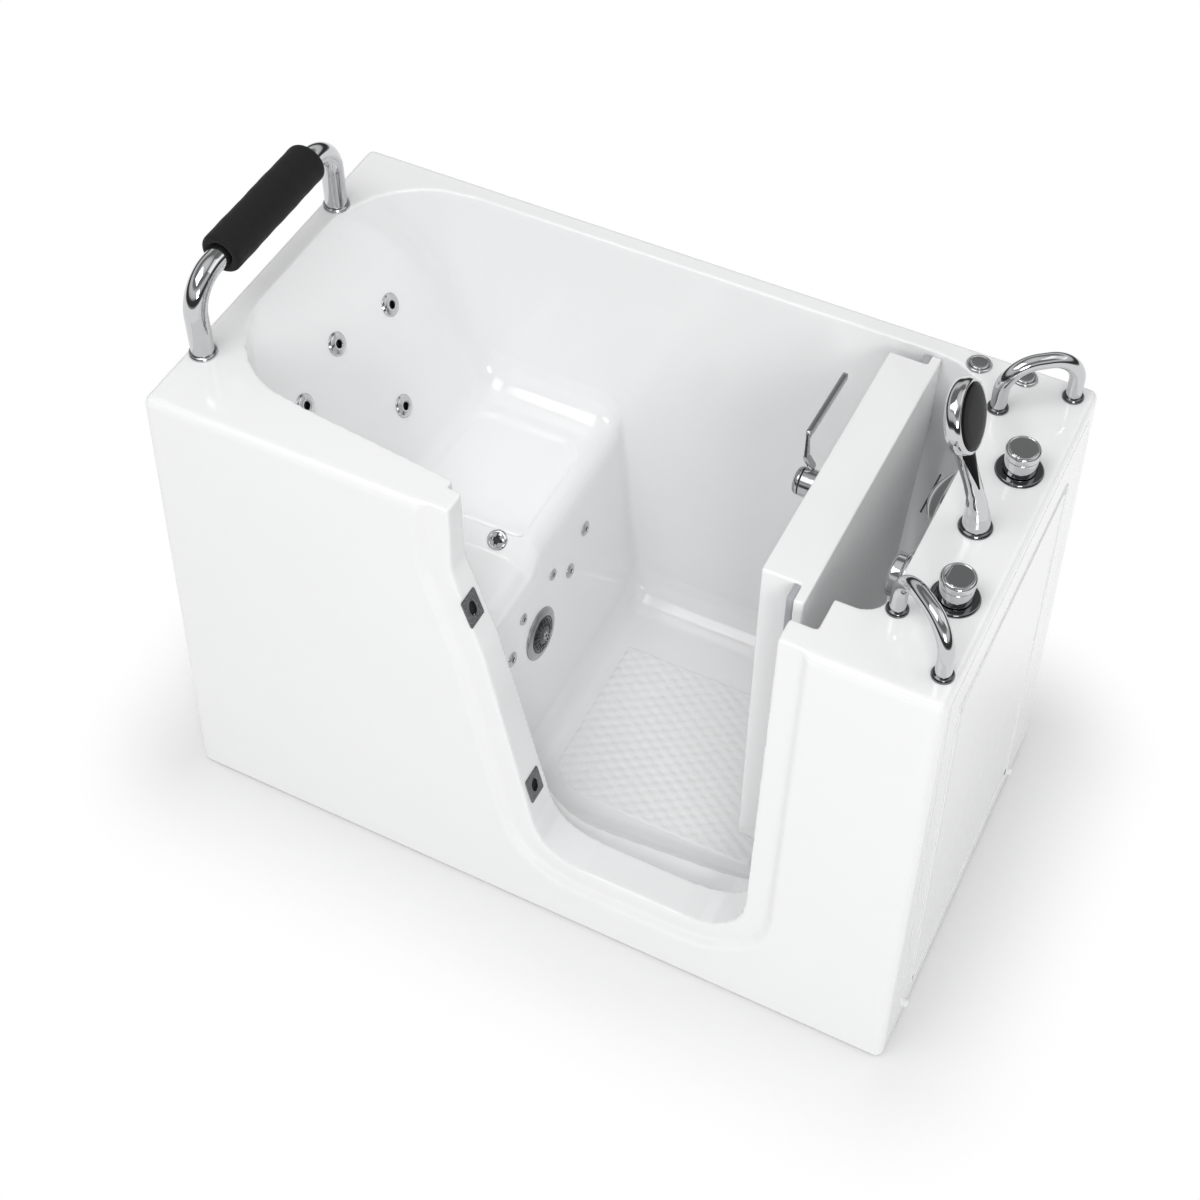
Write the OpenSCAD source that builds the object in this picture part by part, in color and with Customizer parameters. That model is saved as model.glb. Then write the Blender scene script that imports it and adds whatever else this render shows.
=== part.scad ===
// Walk-in bathtub: moulded tub with seat, footwell and an inward swinging side door.
// Origin on the floor under the middle of the tub, +X to the tap deck, -Y to the door side.

/* [Overall size] */
// Length of the deck, end to end
deck_l = 1304; // [1270:1:1400]
// Width of the deck, front to back
deck_w = 680; // [670:1:760]
// Height of the deck above the floor
tub_h = 928; // [910:1:980]
// How far each end wall leans out from deck to floor
end_flare = 20; // [10:1:30]
// How far the front and back walls lean out from deck to floor
side_flare = 34; // [20:1:44]
// Thickness of the moulded skins
shell_t = 8; // [6:0.5:9]
// Radius of the outer edges
edge_r = 14; // [10:0.5:16]
// Height of the deck moulding's turned-down edge
lip_h = 34; // [30:1:40]
// Gap under the skirts
skirt_gap = 3; // [2:0.5:6]
// How far the front and back skirts wrap round the ends
corner_return = 40; // [36:1:44]

/* [Basin] */
// Width of the tap deck beside the basin
tap_deck_w = 137; // [130:1:150]
// Ledge behind the backrest
left_ledge = 43; // [40:1:50]
// Ledge along the back wall
back_ledge = 38; // [34:1:44]
// Front ledge at the left end of the basin
front_ledge_left = 116; // [110:1:122]
// Front ledge where the doorway starts
front_ledge_door = 68; // [64:1:72]
// Front ledge at the hinge side of the doorway
front_ledge_hinge = 113; // [110:1:116]
// Plan radius of the backrest corners
end_r = 180; // [150:1:190]
// Plan radius of the back corner at the taps
tap_corner_r = 116; // [100:1:118]
// Plan radius of the front corner at the taps
hinge_corner_r = 40; // [30:1:46]
// Height of the footwell floor
floor_z = 75; // [73:1:90]
// Height of the seat, as a share of the deck's
seat_share = 0.555; // [0.53:0.001:0.57]
// Seat and backrest run, from the left rim to the riser
seat_run = 458; // [440:1:470]
// Height of the rim step above the backrest
backrest_step = 5; // [4:0.5:8]
// Backrest lean, sideways per unit of height
backrest_lean_share = 0.5; // [0.45:0.01:0.52]
// Riser lean, sideways per unit of height
riser_lean_share = 0.1; // [0.05:0.01:0.12]
// Lean of the wall under the taps
tap_wall_lean_share = 0.018; // [0.01:0.001:0.02]
// Radius where floor and seat turn up into the walls
cove_r = 60; // [50:1:64]
// Radius between seat and backrest
seat_back_r = 45; // [35:1:60]
// Radius of the seat's front edge
seat_fold_r = 55; // [45:1:60]
// Radius at the foot of the riser
riser_foot_r = 40; // [30:1:50]
// Drop of the lower front part of the seat
seat_drop = 30; // [24:1:34]

/* [Doorway] */
// From the basin's tap end to the doorway's hinge side
door_setback = 112; // [108:1:118]
// Doorway width at the top, as a share of the deck's width
doorway_top_share = 0.7662; // [0.75:0.001:0.773]
// Doorway width at the knee, as a share
doorway_knee_share = 0.6926; // [0.684:0.001:0.7]
// Doorway width at the sill, as a share
doorway_sill_share = 0.5441; // [0.53:0.001:0.553]
// Height of the sill, as a share of the deck's
sill_share = 0.1616; // [0.157:0.001:0.172]
// Lower knee of the slanted side, as a share
knee_low_share = 0.6735; // [0.66:0.001:0.69]
// Upper knee of the slanted side, as a share
knee_high_share = 0.8513; // [0.83:0.001:0.86]
// Sill radius at the slanted side
sill_r_left = 95; // [80:1:110]
// Sill radius at the hinge side
sill_r_right = 108; // [95:1:120]
// Radius at the lower knee
knee_low_r = 400; // [300:10:500]
// Radius at the upper knee
knee_high_r = 100; // [80:1:120]
// Depth of the reveal, from deck edge to the seal shoulder
reveal_d = 52; // [50:1:54]
// Width of the seal shoulder
shoulder_w = 25; // [24:1:28]
// Extra shoulder width at the hinge side
hinge_pocket_w = 18; // [17:1:20]
// Width of the recessed band round the doorway
band_w = 52; // [44:1:54]
// Depth of the recessed band
band_d = 10; // [6:0.5:12]
// Width of the band's sloped edge
band_slope_w = 14; // [10:1:18]

/* [Door] */
// Gap between door and reveal
door_gap = 12; // [11:0.5:13]
// Gap between the door's top and the deck level
door_top_gap = 8; // [6:0.5:12]
// How far the door face sits behind the deck edge
door_face_in = 3; // [2:0.5:6]
// Wall of the door moulding
door_wall = 5; // [4:0.5:6]
// Thickness of the door's inner plate
liner_t = 16; // [14:0.5:17]
// How far the inner plate overlaps the shoulder
liner_lap = 9; // [8:0.5:10]
// Thickness of the door seal
seal_t = 11; // [10:0.5:12]
// Gap left for the seal to be squeezed
seal_gap = 3; // [2:0.5:4]
// Hinge pin, across from the doorway's hinge side
pin_out = 17; // [16:0.5:18]
// Hinge pin, in from the front edge
pin_in = 93; // [92:0.5:95]
// Angle the door stands open at rest
door_open = 90; // [90:1:90]
// Hinge pin radius
pin_r = 4; // [3.5:0.25:4.5]
// Hinge knuckle radius
knuckle_r = 9; // [8:0.25:9.5]
// Height of each hinge
hinge_h = 80; // [70:1:90]
// Height of the lower hinge, as a share of the deck's
hinge_low_share = 0.3254; // [0.324:0.001:0.34]
// Height of the upper hinge, as a share
hinge_high_share = 0.7435; // [0.72:0.001:0.76]
// Thickness of hinge leaves
leaf_t = 3; // [2.5:0.25:3.5]

/* [Latch] */
// Latch hub from the hinge pin, as a share of the doorway's width
latch_reach_share = 0.4971; // [0.485:0.001:0.502]
// Latch hub, down from the deck level
latch_down = 62; // [58:1:66]
// Latch hub radius
latch_r = 23.5; // [21:0.5:25]
// Latch hub height off the door
latch_h = 30; // [26:0.5:32]
// Latch spindle radius
spindle_r = 6; // [5:0.25:7]
// Length of the lever's grip
grip_l = 150; // [130:1:160]
// Width of the lever bar
lever_w = 13; // [11:0.5:15]
// Thickness of the lever bar
lever_t = 8; // [7:0.5:9]
// Grip above the hub's axis
grip_rise = 68; // [62:1:72]
// Bolt radius
bolt_r = 6; // [5:0.25:6.5]
// Bolt travel
bolt_throw = 22; // [20:0.5:22]
// Bolts, in from the door's face
bolt_in = 15; // [14:0.5:16]
// Height of the upper bolt, as a share of the deck's
bolt_high_share = 0.7651; // [0.755:0.001:0.785]
// Height of the lower bolt, as a share
bolt_low_share = 0.3179; // [0.305:0.001:0.33]
// Crank radius of the latch
crank_r = 22; // [22:0.5:23]
// Striker plate width
striker_w = 40; // [36:1:42]
// Striker plate height
striker_h = 55; // [50:1:60]
// Striker plate thickness
striker_t = 2.5; // [2:0.25:3]

/* [Rails] */
// Grab rail tube radius
rail_r = 12.5; // [11:0.5:14]
// Grab rail height to its axis
rail_rise = 88; // [80:1:96]
// Grab rail bend radius
rail_bend_r = 52; // [36:1:56]
// Front rail's inner foot, past the basin's tap end
rail_front_past = 16; // [14:0.5:20]
// Front rail's inner foot from the middle, as a share of the half width
rail_front_share = 0.603; // [0.58:0.001:0.615]
// Front rail's outer foot, in from the tap end
rail_front_in = 24; // [22:0.5:30]
// Front rail's outer foot, in from the front edge
rail_front_edge = 56; // [50:1:60]
// Back rail's inner foot, past the basin's tap end
rail_back_past = 9; // [8:0.5:14]
// Back rail's inner foot from the middle, as a share
rail_back_share = 0.6765; // [0.665:0.001:0.69]
// Back rail's outer foot, in from the tap end
rail_back_in = 33; // [26:0.5:36]
// Back rail's outer foot, in from the back edge
rail_back_edge = 36; // [32:0.5:40]
// Neck bar tube radius
neck_r = 19; // [16:0.5:20]
// Neck bar height to its axis
neck_rise = 138; // [120:1:150]
// Neck bar bend radius
neck_bend_r = 60; // [50:1:70]
// Neck bar, in from the deck's left edge
neck_in = 30; // [28:0.5:31]
// Neck bar's front foot from the middle, as a share
neck_front_share = 0.6265; // [0.59:0.001:0.64]
// Neck bar's back foot from the middle, as a share
neck_back_share = 0.5353; // [0.51:0.001:0.55]
// Foam sleeve radius
sleeve_r = 35; // [30:0.5:38]
// Foam sleeve length, as a share of the bar's span
sleeve_share = 0.638; // [0.6:0.001:0.65]

/* [Deck fittings] */
// Tap knobs, in from the tap end
tap_in = 56; // [52:1:60]
// Front tap knob from the middle, as a share of the half width
tap_front_share = 0.4412; // [0.42:0.001:0.45]
// Back tap knob from the middle, as a share
tap_back_share = 0.3588; // [0.34:0.001:0.38]
// Tap ring radius
tap_ring_r = 37; // [34:0.5:39]
// Tap knob radius
tap_knob_r = 27; // [25:0.5:29]
// Tap knob height above the deck
tap_knob_h = 50; // [44:1:56]
// Hand shower socket, in from the tap end
shower_in = 76; // [72:1:80]
// Hand shower socket, front of the middle
shower_front = 12; // [6:1:18]
// Hand shower socket radius
socket_r = 26; // [24:0.5:28]
// Hand shower head radius
head_r = 55; // [50:1:58]
// Hand shower head thickness
head_t = 26; // [22:1:28]
// Hand shower head centre above the deck
head_rise = 214; // [204:1:224]
// Hand shower head centre, in from the socket
head_lean = 32; // [26:1:38]
// Push button nearer the basin, in from the tap end
button_near_in = 185; // [180:1:190]
// Push button nearer the basin, in from the back edge
button_near_edge = 33; // [30:0.5:36]
// Push button nearer the corner, in from the tap end
button_far_in = 112; // [106:1:118]
// Push button nearer the corner, in from the back edge
button_far_edge = 30; // [28:0.5:34]
// Push button radius
button_r = 15; // [14:0.5:16]
// Push button travel
button_travel = 3; // [2:0.5:4]
// Overflow ring radius
overflow_r = 42; // [38:0.5:44]
// Overflow centre from the middle, as a share
overflow_front_share = 0.3088; // [0.29:0.001:0.32]
// Overflow centre, below the deck
overflow_down = 50; // [48:1:56]
// Spout width
spout_w = 124; // [110:1:130]
// Spout centre from the middle, as a share
spout_back_share = 0.1118; // [0.1:0.001:0.13]
// Spout, below the deck
spout_down = 20; // [18:1:26]

/* [Water and frame] */
// Large jet face radius
jet_r = 21; // [19:0.5:23]
// Suction cover radius
suction_r = 50; // [46:0.5:54]
// Drain bore radius
drain_r = 24; // [22:0.5:26]
// Drain tail radius
tail_r = 20; // [18:0.5:21]
// Drain tail length
tail_l = 22; // [20:1:23]
// Drain, in from the basin's tap end
drain_in = 110; // [108:1:118]
// Frame tube size
frame_tube = 32; // [28:1:34]
// Frame tube wall
frame_wall = 2.5; // [2:0.25:3]
// Frame, in from the deck's edges
frame_in = 18; // [18:1:22]
// Corner post size
post_w = 25; // [22:1:25]
// Levelling foot pad radius
foot_r = 25; // [22:1:28]
// Levelling foot stud radius
foot_stud_r = 6; // [5:0.5:6]

/* [End panel] */
// Height of the panel's lower edge
panel_low_z = 50; // [44:1:60]
// Height of the panel's upper edge, as a share of the deck's
panel_high_share = 0.8858; // [0.86:0.001:0.895]
// Panel edge in front of the middle, as a share of the half width
panel_front_share = 0.7412; // [0.7:0.001:0.753]
// Panel edge behind the middle, as a share
panel_back_share = 0.6824; // [0.65:0.001:0.705]
// Ledge behind the panel's edge
panel_ledge = 16; // [14:1:18]
// How far the border stands out
panel_proud = 2; // [1.5:0.5:2.5]
// Width of the border
panel_border = 4; // [3:0.5:5]
// Panel screw radius
panel_screw_r = 2.5; // [2:0.5:3]
// Panel screws, in from the panel's edges
panel_screw_in = 10; // [9:1:12]
// Radius of the round caps
cap_r = 7; // [6:0.5:8]
// Height of the round caps
cap_h = 8; // [6:1:10]
// Height of the front cap
cap_front_z = 28; // [24:1:32]
// Height of the back cap
cap_back_z = 30; // [26:1:34]

/* [Fastenings] */
// Stud radius under rails and bar
stud_r = 5; // [4:0.5:5.5]
// Stud length
stud_l = 26; // [22:1:30]
// Nut height
nut_h = 8; // [6:1:10]
// Nut radius
nut_r = 8; // [7.5:0.5:8.5]
// Width of the rings at the tube feet
ring_w = 4.5; // [4:0.5:5]
// Height of those rings
ring_h = 6; // [5:0.5:8]
// Wall of sleeves through the deck
sleeve_wall = 3; // [2.5:0.5:3.5]
// Radius of the foam's ends
sleeve_end_r = 9; // [7:1:10]

/* [Latch drive] */
// Reach of the door's hinge leaf
leaf_reach = 40; // [34:1:44]
// Height of the turning hub
hub_h = 16; // [14:1:18]
// Height of the hub's cap
cap_dome_h = 12; // [10:1:14]
// Lever elbow, across from the hub's axis
elbow_in = 31; // [29:0.5:33]
// Radius of the crank and bolt pins
latch_pin_r = 3; // [2.5:0.5:3.5]
// Thickness of the drive bar
bar_t = 3; // [2.5:0.5:4]
// Thickness of the crank disc
disc_t = 4; // [3:0.5:5]
// Gap round a pin in its slot
slot_fit = 0.8; // [0.5:0.1:1]
// Half width of a slot as a share of its end radius
slot_side_share = 0.98; // [0.95:0.01:0.99]
// Width of the bolt guides
guide_w = 14; // [12:1:16]

/* [Fitting parts] */
// Height of the tap rings
tap_ring_h = 5; // [4:0.5:6]
// Tap stem radius
stem_r = 8; // [7:0.5:9]
// Tap stem height
stem_h = 30; // [26:1:34]
// Radius of the tap valve holes
valve_hole_r = 13; // [11:0.5:14]
// Tap valve radius
valve_r = 18; // [16:1:20]
// Tap valve length
valve_l = 64; // [56:2:70]
// Supply tail radius
supply_r = 10.2; // [10:0.1:10.4]
// Supply tail length
supply_l = 24; // [20:1:28]
// Height of the shower's socket
socket_h = 6; // [5:0.5:8]
// Depth of the socket's sleeve
socket_l = 52; // [48:1:56]
// Radius of the shower's plug
plug_r = 14; // [13:0.5:15]
// Length of the shower's plug
plug_l = 40; // [34:1:44]
// Height of the handle's flare
neck_bottom = 58; // [54:1:62]
// Handle radius
grip_r = 13; // [12:0.5:14]
// Turn of the head towards the bather
head_yaw = 2; // [0:1:6]
// Tilt of the head
head_pitch = 19; // [14:1:24]
// How far the spout stands out
spout_out = 24; // [20:1:28]
// Thickness of the spout
spout_t = 12; // [10:1:14]
// Radius of the spout's feed
spout_feed_r = 12; // [10:0.5:13]
// Height of the button rings
button_ring_h = 3; // [2:0.5:4]
// How far a button stands out of its ring
button_proud = 2; // [1.5:0.5:3]
// Depth of a button's body
button_body_l = 30; // [26:1:34]
// Length of a button below the deck
button_rest_l = 15; // [12:1:18]
// Height of the overflow ring
overflow_ring_h = 8; // [6:1:10]
// Height of the overflow knob
overflow_knob_h = 18; // [14:1:22]
// Radius of the overflow knob's shaft
overflow_shaft_r = 8; // [7:0.5:9]
// Thickness of the drain flange
drain_flange_t = 3; // [2:0.5:4]
// Radius of the plug's stem
plug_stem_r = 4; // [3:0.5:5]

/* [Jets and pump] */
// Neck radius of jets, as a share of the face
neck_share = 0.55; // [0.5:0.01:0.6]
// Height of a jet face
jet_h = 5; // [4:0.5:6]
// Height of the suction cover
suction_h = 12; // [10:1:14]
// Backrest jets across, as shares of the half width
back_jet_across_shares = [0.49, 0.06, -0.31, 0.23]; // [-0.6:0.01:0.6]
// Backrest jets up, as shares of seat to deck
back_jet_up_shares = [0.579, 0.644, 0.581, 0.249]; // [0.2:0.001:0.7]
// Riser jets across, as shares of the half width
riser_jet_across_shares = [0.42, 0.06, -0.26, 0.22, -0.42]; // [-0.45:0.01:0.45]
// Riser jets down, as shares of seat to floor
riser_jet_down_shares = [0.277, 0.27, 0.277, 0.373, 0.384]; // [0.25:0.001:0.4]
// Suction cover across
suction_across_share = 0.14; // [0.1:0.01:0.18]
// Suction cover down
suction_down_share = 0.461; // [0.45:0.001:0.48]
// Pressure pipe down
manifold_down_share = 0.286; // [0.27:0.001:0.3]
// Thickness of the pump's tray
tray_t = 3; // [2:0.5:4]
// Pump radius
pump_r = 72; // [66:1:76]
// Pump thickness
pump_t = 60; // [54:2:66]
// Pump, behind the middle
pump_y = 60; // [50:2:70]
// Motor radius
motor_r = 58; // [52:1:62]
// Motor length
motor_l = 220; // [200:5:240]
// Pipe radius
pipe_r = 14; // [12:0.5:16]
// Blower radius
blower_r = 68; // [60:1:72]
// Blower height
blower_h = 110; // [100:2:120]
// Thickness of a levelling foot's pad
foot_t = 8; // [6:1:10]
// Thickness of its nut
foot_nut_t = 6; // [5:0.5:8]

/* [Hidden] */

// Overrun of every cut
over = 1;
// Gap between neighbouring pieces that don't touch
clear = 0.3;
// Radial clearance of a running fit
run_fit = 0.05;
// Segments of each outline arc
arc_steps = 6;
// Segments of round pieces under a hull
hull_fn = 32;

half_l = deck_l / 2;
half_w = deck_w / 2;
seat_z = tub_h * seat_share;
doorway_top_w = deck_w * doorway_top_share;
doorway_knee_w = deck_w * doorway_knee_share;
doorway_sill_w = deck_w * doorway_sill_share;
sill_z = tub_h * sill_share;
knee_low_z = tub_h * knee_low_share;
knee_high_z = tub_h * knee_high_share;
hinge_low_z = tub_h * hinge_low_share;
hinge_high_z = tub_h * hinge_high_share;
latch_reach = doorway_top_w * latch_reach_share;
bolt_high_z = tub_h * bolt_high_share;
bolt_low_z = tub_h * bolt_low_share;
rail_front_mid = half_w * rail_front_share;
rail_back_mid = half_w * rail_back_share;
neck_front = half_w * neck_front_share;
neck_back = half_w * neck_back_share;
sleeve_l = (neck_front + neck_back) * sleeve_share;
tap_front = half_w * tap_front_share;
tap_back = half_w * tap_back_share;
overflow_front = half_w * overflow_front_share;
spout_back = half_w * spout_back_share;
panel_high_z = tub_h * panel_high_share;
panel_front = half_w * panel_front_share;
panel_back = half_w * panel_back_share;
basin_xr = half_l - tap_deck_w;
basin_xl = -half_l + left_ledge;
back_y = half_w - back_ledge;
riser_x = basin_xl + seat_run;
open_xr = basin_xr - door_setback;
open_x_top = open_xr - doorway_top_w;
open_x_knee = open_xr - doorway_knee_w;
open_x_sill = open_xr - doorway_sill_w;
front_y = -half_w;
shoulder_y = front_y + reveal_d;
liner_y0 = shoulder_y + seal_gap + seal_t;
liner_y1 = liner_y0 + liner_t;
face_y = front_y + door_face_in;
door_top = tub_h - door_top_gap;
pin_x = open_xr + pin_out;
pin_y = front_y + pin_in;
latch_x = pin_x - latch_reach;
latch_z = tub_h - latch_down;
bolt_y = face_y + bolt_in;
front_lean = atan(side_flare / tub_h);
end_lean = atan(end_flare / tub_h);
side_split = half_w - corner_return;
frame_x = half_l - frame_in;
frame_y = half_w - frame_in;
frame_top = floor_z - shell_t;
frame_bottom = frame_top - frame_tube;
tap_x = half_l - tap_in;
shower_x = half_l - shower_in;
neck_x = -half_l + neck_in;
drain_x = basin_xr - drain_in;
fitting_t = shell_t / 2;

// Vector helpers
function unit(v) = v / norm(v);
function side(u, v) = u.x * v.y - u.y * v.x;
function out_of(d) = [d.y, -d.x];

// Points of a rounded corner of an outline
function corner(before, at, after, r) =
  r == 0 ? [at] :
  let (u = unit(before - at), v = unit(after - at))
  let (half = acos(u * v) / 2)
  let (centre = at + unit(u + v) * r / sin(half))
  let (start = at + u * r / tan(half) - centre)
  let (sweep = (180 - 2 * half) * (side(u, v) < 0 ? 1 : -1))
  [for (i = [0 : arc_steps])
    let (a = sweep * i / arc_steps)
    centre + [start.x * cos(a) - start.y * sin(a), start.x * sin(a) + start.y * cos(a)]];

// Outline of a list of corners, each [x, y, radius]
function xy(c) = [c.x, c.y];
function rounded(cs) =
  let (n = len(cs))
  [for (i = [0 : n - 1])
    each corner(xy(cs[(i + n - 1) % n]), xy(cs[i]), xy(cs[(i + 1) % n]), cs[i].z)];

// The same corners moved out by g, counter-clockwise lists only
function grown(cs, g) =
  let (n = len(cs))
  [for (i = [0 : n - 1])
    let (a = unit(xy(cs[i]) - xy(cs[(i + n - 1) % n])), b = unit(xy(cs[(i + 1) % n]) - xy(cs[i])))
    let (m = (out_of(a) + out_of(b)) / (1 + a * b))
    let (r = cs[i].z == 0 ? 0 : cs[i].z + g * (side(a, b) > 0 ? 1 : -1))
    [cs[i].x + g * m.x, cs[i].y + g * m.y, r]];

// Prism of an x-z outline between two y values
module along_y(points, y0, y1) {
  translate([0, y1, 0]) rotate([90, 0, 0]) linear_extrude(y1 - y0) polygon(points);
}

// Cylinder between two heights
module post(x, y, z0, z1, r) {
  translate([x, y, z0]) cylinder(h = z1 - z0, r = r);
}

// Box between two corners
module block(a, b) {
  translate(a) cube(b - a);
}

// Frame of the front apron's face: x along, y inwards from the face, z up
module on_apron() {
  translate([0, front_y - side_flare, 0]) rotate([-front_lean, 0, 0]) children();
}

// Frame of the right end's face: x outwards from the face, y along, z up
module on_end() {
  translate([half_l + end_flare, 0, 0]) rotate([0, -end_lean, 0]) children();
}

// Outer form of the tub, moved in by an inset
module envelope(inset) {
  r = max(edge_r - inset, edge_r / 7);
  low = inset > 0 ? -over : 0;
  hull() {
    for (sx = [-1, 1], sy = [-1, 1]) {
      translate([sx * (half_l + end_flare - inset - r), sy * (half_w + side_flare - inset - r), low])
        cylinder(h = over, r = r, $fn = hull_fn);
      translate([sx * (half_l - inset - r), sy * (half_w - inset - r), tub_h - inset - r])
        sphere(r, $fn = hull_fn);
    }
  }
}

// Long section of the basin: backrest, seat, riser, floor and tap wall
sect_top = tub_h + 2 * cove_r;
function backrest_x(z) = basin_xl + backrest_lean_share * (tub_h - backrest_step - z);
function riser_at(z) = riser_x + riser_lean_share * (seat_z - z);
function tap_wall_x(z) = basin_xr - tap_wall_lean_share * (tub_h - z);
long_section = [
  [backrest_x(sect_top), sect_top, 0],
  [backrest_x(seat_z), seat_z, seat_back_r],
  [riser_at(seat_z), seat_z, seat_fold_r],
  [riser_at(floor_z), floor_z, riser_foot_r],
  [tap_wall_x(floor_z), floor_z, cove_r],
  [tap_wall_x(sect_top), sect_top, 0]
];

// Plan curves of the basin's back and front walls, moved out by t
door_side_x = open_x_top - shoulder_w;
hinge_side_x = open_xr + shoulder_w + hinge_pocket_w;
front_fall = (front_ledge_left - front_ledge_door) / (door_side_x - basin_xl);
end_centre_x = basin_xl + end_r;
end_centre_front_y = front_y + front_ledge_left - front_fall * end_r + end_r / cos(atan(front_fall));
tap_centre_x = basin_xr - tap_corner_r;
hinge_centre_x = basin_xr - hinge_corner_r;
function arc_at(x, cx, r) = sqrt(max(r * r - (x - cx) * (x - cx), 0));
function back_at(x, t) =
  x < end_centre_x ? back_y - end_r + arc_at(x, end_centre_x, end_r + t) :
  x > tap_centre_x ? back_y - tap_corner_r + arc_at(x, tap_centre_x, tap_corner_r + t) :
  back_y + t;
function front_line(x) = front_y + (
  x < door_side_x ? front_ledge_door + front_fall * (door_side_x - x) :
  lookup(x, [[door_side_x, front_ledge_door], [hinge_side_x, front_ledge_hinge]]));
function front_at(x, t) =
  x < end_centre_x - end_r * sin(atan(front_fall)) ?
    end_centre_front_y - arc_at(x, end_centre_x, end_r + t) :
  x > hinge_centre_x ?
    front_line(x) + hinge_corner_r - arc_at(x, hinge_centre_x, hinge_corner_r + t) :
  front_line(x) - t;

// Lower front part of the seat: how far it drops at each x
drop_start_share = 0.68;
drop_full_share = 0.6;
drop_foot_share = 0.02;
drop_xs = [
  riser_x - drop_start_share * seat_run / 2 - seat_drop, riser_x - drop_full_share * seat_run / 2,
  riser_x, riser_x + drop_foot_share * seat_run];
function drop_at(x) = lookup(x, [
  [drop_xs[0], 0], [drop_xs[1], seat_drop], [drop_xs[2], seat_drop], [drop_xs[3], 0]]);
drop_crease_y = -seat_drop / 3;
drop_foot_y = drop_crease_y - 4 * seat_drop / 3;

// Sorted list without values closer together than a gap
function sorted(v) = len(v) < 2 ? v :
  let (p = v[floor(len(v) / 2)])
  concat(sorted([for (a = v) if (a < p) a]), [p], sorted([for (a = v) if (a > p) a]));
function spaced(v, gap) = [for (i = [0 : len(v) - 1]) if (i == 0 || v[i] - v[i - 1] > gap) v[i]];

// Places along x where the basin's cross-section is drawn
end_arc_angles = [0, 12, 24, 36, 48, 60, 72];
tap_arc_angles = [0, 18];
wall_shares = [0.35, 0.7, 1];
function stations(t, top) =
  let (path = rounded(grown(long_section, t)))
  let (right = min(basin_xr, tap_wall_x(top - over)) + t)
  let (left = basin_xl - t)
  let (raw = concat(
    [for (a = end_arc_angles) end_centre_x - (end_r + t) * cos(a)],
    [for (p = path) if (p.x > left && p.x < right) p.x],
    [for (x = drop_xs) x - t],
    [door_side_x + 2 * shoulder_w],
    [for (a = tap_arc_angles) tap_centre_x + (tap_corner_r + t) * sin(a)],
    [for (s = wall_shares) right - (1 - s) * tap_wall_lean_share * tub_h]))
  spaced(sorted(raw), fitting_t / 4);

// One cross-section of the basin at x, as points with the front rim first
cove_angles = [0, 22.5, 45, 67.5, 90];
function section(x, t, path, top) =
  let (z0 = lookup(x, path))
  let (a = front_at(x, t), b = back_at(x, t))
  let (r = min(cove_r + t, (top - z0) * 0.9, (b - a) * 0.4))
  let (d = min(drop_at(x + t), (top - z0) * 0.5))
  concat(
    [[x, a, top]],
    [for (g = cove_angles) [x, a + r * (1 - cos(g)), z0 - d + r * (1 - sin(g))]],
    [[x, min(drop_foot_y, b - r - clear), z0 - d], [x, min(drop_crease_y, b - r - clear / 2), z0]],
    [for (i = [len(cove_angles) - 1 : -1 : 0])
      [x, b - r * (1 - cos(cove_angles[i])), z0 + r * (1 - sin(cove_angles[i]))]],
    [[x, b, top]]);

// The space inside the basin, moved out by t and cut off at a top height
module basin_space(t, top) {
  path = [for (p = rounded(grown(long_section, t))) p];
  xs = stations(t, top);
  rings = [for (x = xs) section(x, t, path, top)];
  n = len(rings[0]);
  m = len(rings);
  points = [for (ring = rings) each ring];
  sides = [for (i = [0 : m - 2], j = [0 : n - 1])
    let (a = i * n + j, b = i * n + (j + 1) % n)
    each [[a, a + n, b + n], [a, b + n, b]]];
  first = [[for (j = [0 : n - 1]) j]];
  last = [[for (j = [n - 1 : -1 : 0]) (m - 1) * n + j]];
  polyhedron(points, concat(sides, first, last), convexity = 6);
}

// Corners of the doorway in x and z, with extra width at the hinge side
function doorway(extra, top) = [
  [open_x_sill, sill_z, sill_r_left],
  [open_xr + extra, sill_z, sill_r_right],
  [open_xr + extra, top, 0],
  [open_x_top, top, 0],
  [open_x_top, knee_high_z, knee_high_r],
  [open_x_knee, knee_low_z, knee_low_r]
];
open_top = tub_h + 3 * shell_t;
function opening_outline(g) = rounded(grown(doorway(0, open_top), g));
function rebate_outline(g) = rounded(grown(doorway(hinge_pocket_w, open_top), shoulder_w + g));
liner_extra = pin_out + leaf_t - liner_lap;
function body_outline(g) = rounded(grown(doorway(0, door_top + door_gap), g - door_gap));
function liner_outline(g) = rounded(grown(doorway(liner_extra, door_top - liner_lap), liner_lap + g));

// Left side of the doorway at a height
function reveal_x(z) = lookup(z, [
  [sill_z, open_x_sill], [knee_low_z, open_x_knee], [knee_high_z, open_x_top], [tub_h, open_x_top]]);
function reveal_tilt(z) = atan((reveal_x(z - clear) - reveal_x(z + clear)) / (2 * clear));
function bolt_tip_x(z) = reveal_x(z) + door_gap / cos(reveal_tilt(z)) + over;

// Sloped-edge recess of the band round the doorway
module band_recess() {
  slope = band_slope_w / band_d;
  wide = rounded(grown(doorway(0, open_top), band_w + over * slope));
  narrow = rounded(grown(doorway(0, open_top), band_w - band_slope_w));
  n = len(wide);
  points = concat(
    [for (p = wide) [p.x, -over, p.y]],
    [for (p = narrow) [p.x, band_d, p.y]]);
  sides = [for (i = [0 : n - 1])
    let (j = (i + 1) % n)
    each [[i, j + n, i + n], [i, j, j + n]]];
  front = [[for (i = [n - 1 : -1 : 0]) i]];
  back = [[for (i = [0 : n - 1]) i + n]];
  on_apron() polyhedron(points, concat(sides, front, back), convexity = 4);
}

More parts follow.
